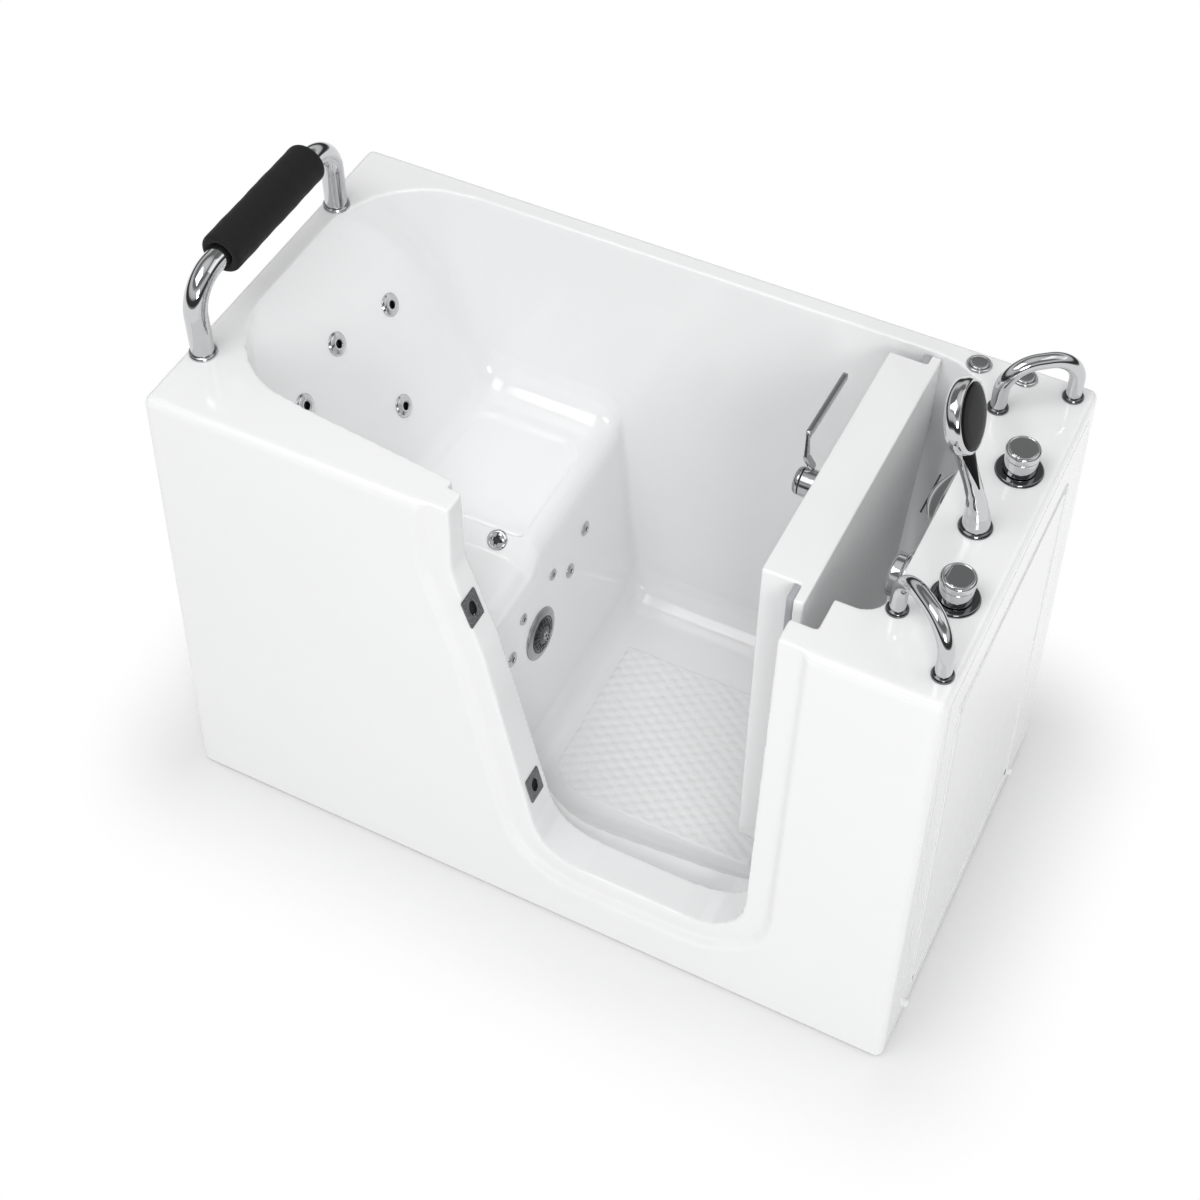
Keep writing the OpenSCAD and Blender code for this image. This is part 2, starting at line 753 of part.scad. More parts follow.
// Moulding behind the band
module band_backing() {
  intersection() {
    on_apron() block([-half_l, shell_t - clear, 0], [half_l, shell_t + band_d, 2 * tub_h]);
    along_y(rounded(grown(doorway(0, tub_h - fitting_t), band_w + shell_t)), 2 * front_y, 0);
    block([-half_l, 2 * front_y, skirt_gap], [half_l, 0, tub_h - fitting_t]);
  }
}

// Doorway and shoulder cut
module doorway_cut() {
  along_y(opening_outline(0), 2 * front_y, shoulder_y + over);
  along_y(rebate_outline(0), shoulder_y, front_y + front_ledge_hinge + 2 * shell_t);
}

// Jamb walls round the doorway and shoulder
module jamb() {
  intersection() {
    union() {
      along_y(opening_outline(shell_t), 2 * front_y, shoulder_y);
      along_y(rebate_outline(shell_t), shoulder_y - shell_t, front_y + front_ledge_hinge + shell_t);
    }
    on_apron() block([-deck_l, shell_t + band_d, -tub_h], [deck_l, deck_w, 2 * tub_h]);
    block([-half_l, 2 * front_y, 0], [half_l, 0, tub_h - fitting_t]);
  }
}

// Places of the jets: [y, z] on the backrest and the riser
seat_up = tub_h - seat_z;
seat_down = seat_z - floor_z;
back_jet_places = [for (i = [0 : len(back_jet_across_shares) - 1])
  [half_w * back_jet_across_shares[i], seat_z + seat_up * back_jet_up_shares[i]]];
riser_jet_places = [for (i = [0 : len(riser_jet_across_shares) - 1])
  [half_w * riser_jet_across_shares[i], seat_z - seat_down * riser_jet_down_shares[i]]];
suction_place = [-half_w * suction_across_share, seat_z - seat_down * suction_down_share];

// Frames of the backrest, the riser, the seat facet and the tap wall: z out of the wall
module on_backrest(p) {
  translate([backrest_x(p.y), p.x, p.y]) rotate([0, 90 - atan(backrest_lean_share), 0]) children();
}
module on_riser(p) {
  translate([riser_at(p.y), p.x, p.y]) rotate([0, 90 - atan(riser_lean_share), 0]) children();
}
module on_facet() {
  translate([riser_x - cove_r - jet_r / 3, (drop_crease_y + drop_foot_y) / 2, seat_z - seat_drop / 2])
    rotate([atan(seat_drop / (drop_crease_y - drop_foot_y)), 0, 0]) children();
}
module on_tap_wall(y, z) {
  translate([tap_wall_x(z), y, z]) rotate([0, -90 + atan(tap_wall_lean_share), 0]) children();
}

// Radii of the jet necks
jet_neck_r = jet_r * neck_share;
riser_jet_r = jet_r * 0.68;
riser_neck_r = riser_jet_r * neck_share;
suction_neck_r = suction_r * neck_share;

// Places of the deck fittings
rail_feet = [
  [[basin_xr + rail_front_past, -rail_front_mid], [half_l - rail_front_in, -half_w + rail_front_edge]],
  [[basin_xr + rail_back_past, rail_back_mid], [half_l - rail_back_in, half_w - rail_back_edge]]];
neck_feet = [[neck_x, -neck_front], [neck_x, neck_back]];
button_places = [
  [half_l - button_near_in, half_w - button_near_edge],
  [half_l - button_far_in, half_w - button_far_edge]];

// The moulded basin, deck and door jamb
module basin_shell() {
  color("white") difference() {
    union() {
      deck_cap();
      basin_space(shell_t, tub_h - fitting_t);
      jamb();
      intersection() {
        band_backing();
        block([-half_l, 2 * front_y, tub_h - lip_h], [half_l, 0, tub_h]);
      }
    }
    basin_space(0, tub_h + over);
    doorway_cut();
    band_recess();
    deck_holes();
    wall_holes();
    striker_holes();
  }
}

// Deck moulding with its turned-down edge
module deck_cap() {
  difference() {
    envelope(0);
    envelope(shell_t);
    block([-deck_l, -deck_w, -over], [deck_l, deck_w, tub_h - lip_h]);
  }
}

module deck_holes() {
  for (pair = rail_feet, f = pair) post(f.x, f.y, tub_h - 2 * shell_t, tub_h + over, stud_r + clear);
  for (f = neck_feet) post(f.x, f.y, tub_h - 2 * shell_t, tub_h + over, stud_r + clear);
  for (y = [-tap_front, tap_back]) post(tap_x, y, tub_h - 2 * shell_t, tub_h + over, valve_hole_r);
  post(shower_x, -shower_front, tub_h - 2 * shell_t, tub_h + over, plug_r + sleeve_wall + clear);
  for (p = button_places) post(p.x, p.y, tub_h - button_body_l - clear, tub_h + over,
    button_r + sleeve_wall + clear);
}

// A hole through a wall, in the wall's own frame
module through_wall(r) {
  translate([0, 0, -2 * shell_t]) cylinder(h = 3 * shell_t, r = r);
}

module wall_holes() {
  for (p = back_jet_places) on_backrest(p) through_wall(jet_neck_r + clear);
  for (p = riser_jet_places) on_riser(p) through_wall(riser_neck_r + clear);
  on_facet() through_wall(riser_neck_r + clear);
  on_riser(suction_place) through_wall(suction_neck_r + clear);
  on_tap_wall(-overflow_front, tub_h - overflow_down) through_wall(overflow_shaft_r + over);
  on_tap_wall(spout_back, tub_h - spout_down) through_wall(spout_feed_r + clear);
  post(drain_x, -overflow_front, floor_z - 2 * shell_t, floor_z + over, drain_r + clear);
}

// Frame of the left reveal at a height: z out of it, x down along it
module on_reveal(z) {
  translate([reveal_x(z), bolt_y, z]) rotate([0, 90 - reveal_tilt(z), 0]) children();
}

// Slot that takes a bolt
slot_r = bolt_r + 1.5 * over;
module bolt_slot(depth) {
  translate([0, 0, -depth]) {
    for (s = [-1, 1]) translate([s * bolt_r, 0, 0]) cylinder(h = 2 * depth, r = slot_r);
    translate([-bolt_r, -slot_r, 0]) cube([2 * bolt_r, 2 * slot_r, 2 * depth]);
  }
}

module striker_holes() {
  for (z = [bolt_high_z, bolt_low_z]) on_reveal(z) bolt_slot(2 * shell_t);
}

// Skins of the tub's four sides
module skins() {
  difference() {
    envelope(0);
    envelope(shell_t);
  }
}

module front_apron() {
  color("white") difference() {
    union() {
      intersection() {
        skins();
        block([-deck_l, -deck_w, skirt_gap], [deck_l, -side_split, tub_h - lip_h]);
      }
      intersection() {
        band_backing();
        block([-half_l, 2 * front_y, skirt_gap], [half_l, 0, tub_h - lip_h]);
      }
    }
    band_recess();
    along_y(opening_outline(0), 2 * front_y, 0);
  }
}

module back_skirt() {
  color("white") intersection() {
    skins();
    block([-deck_l, side_split, skirt_gap], [deck_l, deck_w, tub_h - lip_h]);
  }
}

module left_skirt() {
  color("white") intersection() {
    skins();
    block([-deck_l, -side_split, skirt_gap], [0, side_split, tub_h - lip_h]);
  }
}

// Right end with the opening for the access panel and the ledge the panel rests on
module panel_box(g, x0, x1) {
  on_end() block([x0, -panel_front - g, panel_low_z - g], [x1, panel_back + g, panel_high_z + g]);
}

module end_skirt() {
  color("white") difference() {
    union() {
      intersection() {
        skins();
        block([0, -side_split, skirt_gap], [deck_l, side_split, tub_h - lip_h]);
      }
      difference() {
        panel_box(panel_ledge, -shell_t - panel_ledge / 2, -shell_t);
        panel_box(-panel_ledge, -4 * shell_t, shell_t);
      }
    }
    panel_box(clear, -shell_t, 2 * shell_t);
    for (p = panel_screw_places) on_end() screw_bore(p, panel_screw_r + clear);
  }
}

// Two round caps at the foot of the right end
cap_places = [[-panel_front - 5 * panel_border, cap_front_z], [panel_back + 4 * panel_border, cap_back_z]];
module skirt_caps() {
  color("white") for (p = cap_places) on_end() translate([2 * clear, p.x, p.y]) rotate([0, 90, 0]) {
    rotate_extrude() polygon([[0, 0], [cap_r, 0], [cap_r, cap_h * 0.8], [cap_r * 0.8, cap_h], [0,
      cap_h]]);
  }
}

// Removable panel with its raised border
panel_screw_places = [
  for (y = [panel_screw_in - panel_front, panel_back - panel_screw_in],
    z = [panel_low_z + panel_screw_in, panel_high_z - panel_screw_in]) [y, z]];
module screw_bore(p, r) {
  translate([-3 * shell_t, p.x, p.y]) rotate([0, 90, 0]) cylinder(h = 5 * shell_t, r = r);
}

module access_panel() {
  color("whitesmoke") difference() {
    union() {
      panel_box(-clear, -shell_t, 0);
      difference() {
        panel_box(-clear, -over, panel_proud);
        panel_box(-panel_border, -2 * over, 2 * panel_proud);
      }
    }
    for (p = panel_screw_places) on_end() screw_bore(p, panel_screw_r + run_fit);
  }
}

module panel_screws() {
  color("silver") for (p = panel_screw_places) on_end() translate([0, p.x, p.y]) rotate([0, 90, 0]) {
    cylinder(h = panel_proud * 0.75, r = 2 * panel_screw_r);
    translate([0, 0, -shell_t]) cylinder(h = shell_t + over, r = panel_screw_r);
  }
}

// Door pieces are drawn closed and swung open about the hinge pin
module swung() {
  translate([pin_x, pin_y, 0]) rotate([0, 0, -door_open]) translate([-pin_x, -pin_y, 0]) children();
}

module door_shell() {
  color("white") swung() difference() {
    along_y(body_outline(0), face_y, liner_y0);
    along_y(body_outline(-door_wall), face_y + door_wall, liner_y0 + over);
    translate([latch_x, face_y - over, latch_z]) rotate([-90, 0, 0])
      cylinder(h = door_wall + 2 * over, r = spindle_r + over);
    for (z = [bolt_high_z, bolt_low_z])
      translate([bolt_tip_x(z) - 2 * door_gap, bolt_y, z]) rotate([0, 90, 0])
        cylinder(h = 4 * door_gap, r = bolt_r + over / 2);
  }
}

module door_liner() {
  color("white") swung() along_y(liner_outline(0), liner_y0, liner_y1);
}

module door_seal() {
  color("dimgray") swung() difference() {
    along_y(liner_outline(-over), liner_y0 - seal_t, liner_y0);
    along_y(body_outline(clear), liner_y0 - 2 * seal_t, liner_y0 + over);
    along_y([[-half_l, door_top - clear], [half_l, door_top - clear], [half_l, 2 * tub_h],
      [-half_l, 2 * tub_h]],
      liner_y0 - 2 * seal_t, liner_y0 + over);
  }
}

// Hinges: knuckles share one pin, the door's knuckle between the jamb's two
knuckle_h = hinge_h * 0.3;
hinge_places = [hinge_low_z, hinge_high_z];
module knuckle(z0, z1) {
  post(pin_x, pin_y, z0, z1, knuckle_r);
}

module door_hinge_leaves() {
  color("silver") swung() for (z = hinge_places) difference() {
    union() {
      knuckle(z - hinge_h / 2 + knuckle_h + clear, z + hinge_h / 2 - knuckle_h - clear);
      block([pin_x - leaf_reach, liner_y1, z - hinge_h / 2 + knuckle_h + clear],
        [pin_x, liner_y1 + leaf_t, z + hinge_h / 2 - knuckle_h - clear]);
    }
    post(pin_x, pin_y, z - hinge_h, z + hinge_h, pin_r + run_fit);
  }
}

module jamb_hinge_leaves() {
  side_x = open_xr + hinge_pocket_w + shoulder_w;
  color("silver") for (z = hinge_places) difference() {
    union() {
      knuckle(z - hinge_h / 2, z - hinge_h / 2 + knuckle_h);
      knuckle(z + hinge_h / 2 - knuckle_h, z + hinge_h / 2);
      block([side_x - leaf_t, shoulder_y + leaf_t, z - hinge_h / 2], [side_x, pin_y + knuckle_r,
        z + hinge_h / 2]);
      for (z0 = [z - hinge_h / 2, z + hinge_h / 2 - knuckle_h])
        block([pin_x + pin_r, pin_y - leaf_t, z0], [side_x - leaf_t / 2, pin_y + leaf_t,
          z0 + knuckle_h]);
    }
    post(pin_x, pin_y, z - hinge_h, z + hinge_h, pin_r + run_fit);
  }
}

module hinge_pins() {
  color("gray") for (z = hinge_places) {
    post(pin_x, pin_y, z - hinge_h / 2, z + hinge_h / 2 + clear, pin_r);
    post(pin_x, pin_y, z + hinge_h / 2, z + hinge_h / 2 + leaf_t, pin_r + 2 * over);
  }
}

// Latch: frame at the hub with z out of the door's face
housing_h = latch_h / 2;
crank_share = sin(45);
bar_y0 = bolt_y + bolt_r + 2 * over;
module at_hub() {
  translate([latch_x, face_y, latch_z]) rotate([90, 0, 0]) children();
}

module latch_housing() {
  color("silver") swung() at_hub() difference() {
    cylinder(h = housing_h, r = latch_r);
    translate([0, 0, -over]) cylinder(h = housing_h + 2 * over, r = spindle_r + run_fit);
  }
}

module latch_spindle() {
  disc_z = face_y - (bolt_y + bolt_r);
  color("gray") swung() at_hub() {
    translate([0, 0, disc_z]) cylinder(h = housing_h + hub_h * 0.8 - disc_z, r = spindle_r);
    translate([0, 0, disc_z]) cylinder(h = disc_t, r = crank_r + 2 * latch_pin_r);
    translate([-crank_r * crank_share, crank_r * crank_share, face_y - bar_y0 - bar_t - over])
      cylinder(h = bar_y0 + bar_t + over - bolt_y - bolt_r, r = latch_pin_r);
  }
}

module latch_lever() {
  elbow = [-elbow_in, grip_rise, housing_h + hub_h + lever_t];
  color("silver") swung() at_hub() difference() {
    union() {
      translate([0, 0, housing_h + clear]) cylinder(h = hub_h, r = latch_r - over);
      hull() {
        translate([-lever_w, latch_r / 2, housing_h + hub_h / 2]) sphere(lever_t, $fn = hull_fn);
        translate(elbow) sphere(lever_w / 2, $fn = hull_fn);
      }
      hull() {
        translate(elbow) sphere(lever_w / 2, $fn = hull_fn);
        translate(elbow - [grip_l, lever_w / 2, 0]) sphere(lever_w / 2.4, $fn = hull_fn);
      }
    }
    cylinder(h = housing_h + hub_h * 0.8 + clear, r = spindle_r + run_fit);
  }
}

module latch_cap() {
  z0 = housing_h + hub_h + 2 * clear;
  color("silver") swung() at_hub() translate([0, 0, z0]) rotate_extrude() polygon([
    [0, 0], [latch_r - 3 * over, 0], [latch_r - 3 * over, cap_dome_h * 0.3], [latch_r - 5 * over,
      cap_dome_h * 0.4],
    [latch_r - 5 * over, cap_dome_h * 0.5], [latch_r - 3 * over, cap_dome_h * 0.6],
    [latch_r * 0.7, cap_dome_h * 0.85], [latch_r * 0.35, cap_dome_h], [0, cap_dome_h]]);
}

// Flat bar that the crank drives down, with a slanted slot for each bolt's pin
bar_drop = 2 * crank_r * crank_share;
bar_w = bolt_throw + 6 * latch_pin_r + 4 * over;
bar_x = latch_x - crank_r * (1 + crank_share) / 2;
bolt_pin_x = bar_x + bolt_throw / 2;
bar_low_z = bolt_low_z - bar_w / 2;
bar_high_z = latch_z + crank_r;
module slot(a, b, r) {
  d = b - a;
  for (p = [a, b]) translate([p.x, 0, p.y]) rotate([-90, 0, 0]) cylinder(h = 4 * bar_t, r = r,
    center = true);
  half = r * slot_side_share;
  translate([a.x, 0, a.y]) rotate([0, -atan2(d.y, d.x), 0]) translate([0, -2 * bar_t, -half])
    cube([norm(d), 4 * bar_t, 2 * half]);
}

module drive_bar() {
  r = latch_pin_r + slot_fit;
  pin_z = latch_z + crank_r * crank_share;
  color("gray") swung() difference() {
    block([bar_x - bar_w / 2, bar_y0, bar_low_z], [bar_x + bar_w / 2, bar_y0 + bar_t,
      bar_high_z + latch_pin_r]);
    translate([0, bar_y0, 0]) {
      slot([latch_x - crank_r, pin_z], [latch_x - crank_r * crank_share, pin_z], r);
      for (z = [bolt_high_z, bolt_low_z]) slot([bolt_pin_x, z], [bolt_pin_x - bolt_throw,
        z + bar_drop], r);
    }
  }
}

module bolt(z) {
  color("silver") swung() {
    translate([bolt_tip_x(z), bolt_y, z]) rotate([0, 90, 0])
      cylinder(h = bolt_pin_x + 2 * latch_pin_r - bolt_tip_x(z), r = bolt_r);
    translate([bolt_pin_x, bolt_y, z]) rotate([-90, 0, 0])
      cylinder(h = bar_y0 + bar_t + over - bolt_y, r = latch_pin_r);
  }
}

module bolt_upper() { bolt(bolt_high_z); }
module bolt_lower() { bolt(bolt_low_z); }

module bolt_guides() {
  inner_y = face_y + door_wall;
  color("dimgray") swung() {
    for (z = [bolt_high_z, bolt_low_z], x = [bolt_tip_x(z) + 2 * guide_w,
      bar_x - bar_w / 2 - bolt_throw - guide_w])
      difference() {
        block([x, inner_y, z - 2 * bolt_r], [x + guide_w, bolt_y + bolt_r + over / 2,
          z + 2 * bolt_r]);
        translate([x - over, bolt_y, z]) rotate([0, 90, 0])
          cylinder(h = guide_w + 2 * over, r = bolt_r + run_fit);
      }
    for (z = [(bolt_high_z + bolt_low_z) / 2]) difference() {
      block([bar_x - bar_w / 2 - bolt_r, inner_y, z], [bar_x + bar_w / 2 + bolt_r,
        bar_y0 + 2 * bar_t, z + guide_w]);
      block([bar_x - bar_w / 2 - clear, bar_y0 - clear, z - over],
        [bar_x + bar_w / 2 + clear, bar_y0 + bar_t + clear, z + guide_w + over]);
    }
  }
}

// Striker plates on the left reveal
module striker(z) {
  color("silver") on_reveal(z) difference() {
    translate([-striker_h / 2, -striker_w / 2, 0]) cube([striker_h, striker_w, striker_t]);
    bolt_slot(2 * shell_t);
  }
}

module striker_upper() { striker(bolt_high_z); }
module striker_lower() { striker(bolt_low_z); }

// An arched tube on two feet, with a stud under each foot
module arch(a, b, rise, bend, r) {
  d = b - a;
  l = norm(d);
  translate([a.x, a.y, tub_h]) rotate([0, 0, atan2(d.y, d.x)]) {
    for (x = [0, l]) translate([x, 0, 0]) {
      cylinder(h = rise - bend, r = r);
      translate([0, 0, -stud_l]) cylinder(h = stud_l + over, r = stud_r);
    }
    translate([bend, 0, rise - bend]) rotate([90, 0, 0]) rotate([0, 0, 90])
      rotate_extrude(angle = 90) translate([bend, 0]) circle(r);
    translate([l - bend, 0, rise - bend]) rotate([90, 0, 0])
      rotate_extrude(angle = 90) translate([bend, 0]) circle(r);
    translate([bend, 0, rise]) rotate([0, 90, 0]) cylinder(h = l - 2 * bend, r = r);
  }
}

// Ring at the foot of a tube
module foot_ring(f, r, w, h) {
  translate([f.x, f.y, tub_h]) rotate_extrude() polygon([
    [r + clear, 0], [r + w, 0], [r + w, h * 0.5], [r + w * 0.6, h], [r + clear, h]]);
}

module front_rail() { color("silver") arch(rail_feet[0][0], rail_feet[0][1], rail_rise, rail_bend_r,
  rail_r); }
module back_rail() { color("silver") arch(rail_feet[1][0], rail_feet[1][1], rail_rise, rail_bend_r,
  rail_r); }
module neck_bar() { color("silver") arch(neck_feet[0], neck_feet[1], neck_rise, neck_bend_r, neck_r); }

module rail_rings() {
  color("dimgray") for (pair = rail_feet, f = pair) foot_ring(f, rail_r, ring_w, ring_h);
}
module neck_rings() {
  color("silver") for (f = neck_feet) foot_ring(f, neck_r, ring_w, ring_h);
}

// Foam sleeve on the neck bar, with rounded ends
sleeve_mid = (neck_back - neck_front) / 2 + shell_t;
module neck_sleeve() {
  end = [for (a = [0 : 15 : 90]) [
    sleeve_r - sleeve_end_r + sleeve_end_r * cos(a),
      sleeve_l / 2 - sleeve_end_r + sleeve_end_r * sin(a)]];
  foot = [for (i = [len(end) - 1 : -1 : 0]) [end[i].x, -end[i].y]];
  color("black") translate([neck_x, sleeve_mid, tub_h + neck_rise]) rotate([-90, 0, 0])
    rotate_extrude() polygon(concat(
      [[neck_r + clear, sleeve_l / 2 - sleeve_end_r / 3], [neck_r + clear,
        sleeve_end_r / 3 - sleeve_l / 2]],
      foot, end));
}

module deck_nuts() {
  color("gray") for (pair = concat(rail_feet, [neck_feet]), f = pair) difference() {
    post(f.x, f.y, tub_h - shell_t - nut_h, tub_h - shell_t - clear, nut_r);
    post(f.x, f.y, tub_h - 2 * stud_l, tub_h, stud_r + run_fit);
  }
}

// Taps: ring on the deck, valve under it with a stem through the deck, turning knob on the stem
tap_ys = [-tap_front, tap_back];
module tap_rings() {
  color("dimgray") for (y = tap_ys) translate([tap_x, y, tub_h]) rotate_extrude() polygon([
    [stem_r + 2 * over, 0], [tap_ring_r, 0], [tap_ring_r, tap_ring_h * 0.4],
    [tap_ring_r - 2 * over, tap_ring_h], [stem_r + 2 * over, tap_ring_h]]);
}

supply_x = tap_x - valve_r;
module tap_valves() {
  top = tub_h - shell_t;
  w = supply_r + sleeve_wall;
  color("goldenrod") for (y = tap_ys) {
    post(tap_x, y, top - valve_l, top - clear, valve_r);
    post(tap_x, y, top - shell_t, tub_h + stem_h, stem_r);
    block([supply_x - w, y - w, top - valve_l], [tap_x, y + w, top - valve_l / 2]);
    post(supply_x, y, top - valve_l - supply_l, top - valve_l + over, supply_r);
  }
}

module knob(y) {
  groove = tap_knob_r * 0.06;
  color("silver") translate([tap_x, y, tub_h]) difference() {
    rotate_extrude() polygon([
      [0, tap_ring_h + clear], [tap_knob_r * 0.94, tap_ring_h + clear], [tap_knob_r * 0.94,
        tap_knob_h * 0.52],
      [tap_knob_r * 0.94 - groove, tap_knob_h * 0.53], [tap_knob_r * 0.94 - groove,
        tap_knob_h * 0.57],
      [tap_knob_r, tap_knob_h * 0.59], [tap_knob_r, tap_knob_h * 0.96],
      [tap_knob_r - groove, tap_knob_h], [0, tap_knob_h]]);
    cylinder(h = stem_h + clear, r = stem_r + run_fit);
  }
}

module cold_knob() { knob(-tap_front); }
module hot_knob() { knob(tap_back); }

// Hand shower: plug in the socket, flared handle, round head facing the bather
module at_shower() {
  translate([shower_x, -shower_front, tub_h]) children();
}

module shower_socket() {
  color("dimgray") at_shower() difference() {
    union() {
      rotate_extrude() polygon([[0, 0], [socket_r, 0], [socket_r, socket_h / 2],
        [socket_r - socket_h / 3, socket_h], [0, socket_h]]);
      translate([0, 0, -socket_l]) cylinder(h = socket_l + over, r = plug_r + sleeve_wall);
    }
    translate([0, 0, -plug_l - over]) cylinder(h = 2 * socket_l, r = plug_r + run_fit);
    translate([0, 0, -2 * socket_l]) cylinder(h = 2 * socket_l, r = supply_r / 2);
  }
}

// Head frame: z out of the black back
module at_head() {
  at_shower() translate([-head_lean, 0, head_rise])
    rotate([0, 0, head_yaw]) rotate([0, 90 - head_pitch, 0]) children();
}

module shower_body() {
  color("silver") difference() {
    union() {
      at_shower() {
        translate([0, 0, -plug_l]) cylinder(h = plug_l + socket_h + clear, r = plug_r);
        rotate_extrude() polygon([
          [0, socket_h + clear], [socket_r - 3 * sleeve_wall / 2, socket_h + clear],
          [socket_r - 2 * sleeve_wall, neck_bottom * 0.3], [grip_r * 1.1, neck_bottom * 0.75],
          [grip_r, neck_bottom], [0, neck_bottom + grip_r / 2]]);
        hull() {
          translate([0, 0, neck_bottom]) sphere(grip_r, $fn = hull_fn);
          translate([-head_lean, 0, head_rise - head_r]) sphere(grip_r * 1.1, $fn = hull_fn);
        }
      }
      at_head() translate([0, 0, -head_t]) rotate_extrude() polygon([
        [0, 0], [head_r * 0.86, 0], [head_r * 0.95, head_t * 0.1], [head_r, head_t * 0.3],
        [head_r, head_t * 0.8], [head_r * 0.94, head_t], [0, head_t]]);
    }
    at_head() translate([0, 0, -grip_r / 4]) cylinder(h = head_t, r = head_r * 0.88);
    at_shower() translate([grip_r * 0.7, -grip_r / 2, neck_bottom]) rotate([0,
      -atan(head_lean / (head_rise - head_r - neck_bottom)), 0])
      cube([grip_r, grip_r, head_rise - head_r - neck_bottom]);
  }
}

module shower_back() {
  color("black") at_head() translate([0, 0, -grip_r / 4]) cylinder(h = grip_r / 4 + over / 2,
    r = head_r * 0.88 - clear);
}

module shower_grip() {
  l = head_rise - head_r - neck_bottom - 2 * clear;
  color("black") at_shower() translate([grip_r * 0.7, -grip_r / 2, neck_bottom])
    rotate([0, -atan(head_lean / (head_rise - head_r - neck_bottom)), 0]) translate([clear, clear,
      clear])
      cube([grip_r * 0.5, grip_r - 2 * clear, l]);
}

// Waterfall spout: a lens standing out of the tap wall
module spout() {
  lens_r = (spout_w * spout_w / 4 + spout_out * spout_out) / (2 * spout_out);
  color("silver") on_tap_wall(spout_back, tub_h - spout_down) difference() {
    union() {
      intersection() {
        translate([0, 0, spout_out - lens_r]) rotate([0, 90, 0]) cylinder(h = spout_t,
          r = lens_r, center = true);
        block([-spout_t, -spout_w, 0], [spout_t, spout_w, spout_out]);
      }
      translate([0, 0, -4 * shell_t]) cylinder(h = 4 * shell_t + over, r = spout_feed_r);
    }
    block([-spout_t / 6, -spout_w / 3, shell_t], [spout_t / 6, spout_w / 3, 2 * spout_out]);
    translate([0, 0, -5 * shell_t]) cylinder(h = 6 * shell_t + over, r = spout_feed_r / 6);
  }
}

// Push buttons on the back ledge
module button_rings() {
  color("silver") for (p = button_places) translate([p.x, p.y, tub_h]) difference() {
    union() {
      cylinder(h = button_ring_h, r = button_r + 5 * over);
      translate([0, 0, -button_body_l]) cylinder(h = button_body_l + over,
        r = button_r + sleeve_wall);
    }
    translate([0, 0, -button_rest_l - 2 * button_travel])
      cylinder(h = button_body_l + button_rest_l, r = button_r + run_fit);
  }
}

module button(p) {
  color("silver") translate([p.x, p.y, tub_h - button_rest_l])
    cylinder(h = button_rest_l + button_ring_h + button_proud, r = button_r);
}

module button_front() { button(button_places[0]); }
module button_back() { button(button_places[1]); }

// Overflow: ring and turning knob on the tap wall, pipe behind it
overflow_knob_r = overflow_r * 0.8;
pipe_x = basin_xr + shell_t + tail_r + 2 * over;
module at_overflow() {
  on_tap_wall(-overflow_front, tub_h - overflow_down) children();
}

module overflow_ring() {
  color("silver") at_overflow() difference() {
    cylinder(h = overflow_ring_h, r = overflow_r);
    translate([0, 0, -over]) cylinder(h = overflow_ring_h + 2 * over, r = overflow_shaft_r + run_fit);
  }
}

module overflow_knob() {
  color("silver") at_overflow() {
    translate([0, 0, overflow_ring_h + clear]) rotate_extrude() polygon([
      [0, 0], [overflow_knob_r, 0], [overflow_knob_r, overflow_knob_h * 0.8],
      [overflow_knob_r * 0.94, overflow_knob_h], [0, overflow_knob_h]]);
    translate([0, 0, -2 * shell_t]) cylinder(h = 2 * shell_t + overflow_ring_h + over,
      r = overflow_shaft_r);
  }
}

tail_top = skirt_gap + tail_l;
outlet_r = tail_r * 0.75;
trap_top = floor_z - 3 * shell_t - over;
branch_top = floor_z - 1.5 * shell_t;
module overflow_pipe() {
  z = tub_h - overflow_down;
  color("white") difference() {
    union() {
      at_overflow() translate([0, 0, -shell_t - 2 * tail_r]) cylinder(h = 2 * tail_r,
        r = tail_r * 1.2);
      post(pipe_x, -overflow_front, branch_top, z, tail_r);
    }
    at_overflow() translate([0, 0, -2 * shell_t - 2 * over]) cylinder(h = 4 * shell_t,
      r = overflow_shaft_r + over);
  }
}

// Drain: flanged body in the floor, pop-up plug, flat trap, tee to the overflow and tail down to the floor
drain_flange_r = drain_r + shell_t;
module drain_body() {
  color("silver") difference() {
    union() {
      post(drain_x, -overflow_front, floor_z, floor_z + drain_flange_t, drain_flange_r);
      post(drain_x, -overflow_front, trap_top, floor_z + over, drain_r);
    }
    post(drain_x, -overflow_front, 0, floor_z + 2 * shell_t, drain_r - sleeve_wall);
    }
  color("silver") for (a = [0, 90]) translate([drain_x, -overflow_front, trap_top]) rotate([0, 0,
    a]) difference() {
    translate([-drain_r + over, -over, 0]) cube([2 * drain_r - 2 * over, 2 * over, shell_t]);
    cylinder(h = 3 * shell_t, r = plug_stem_r + run_fit, center = true);
  }
}

module drain_plug() {
  color("silver") {
    post(drain_x, -overflow_front, floor_z + drain_flange_t + clear, floor_z + 2 * drain_flange_t,
      drain_r - over);
    post(drain_x, -overflow_front, trap_top - over, floor_z + drain_flange_t + over, plug_stem_r);
  }
}

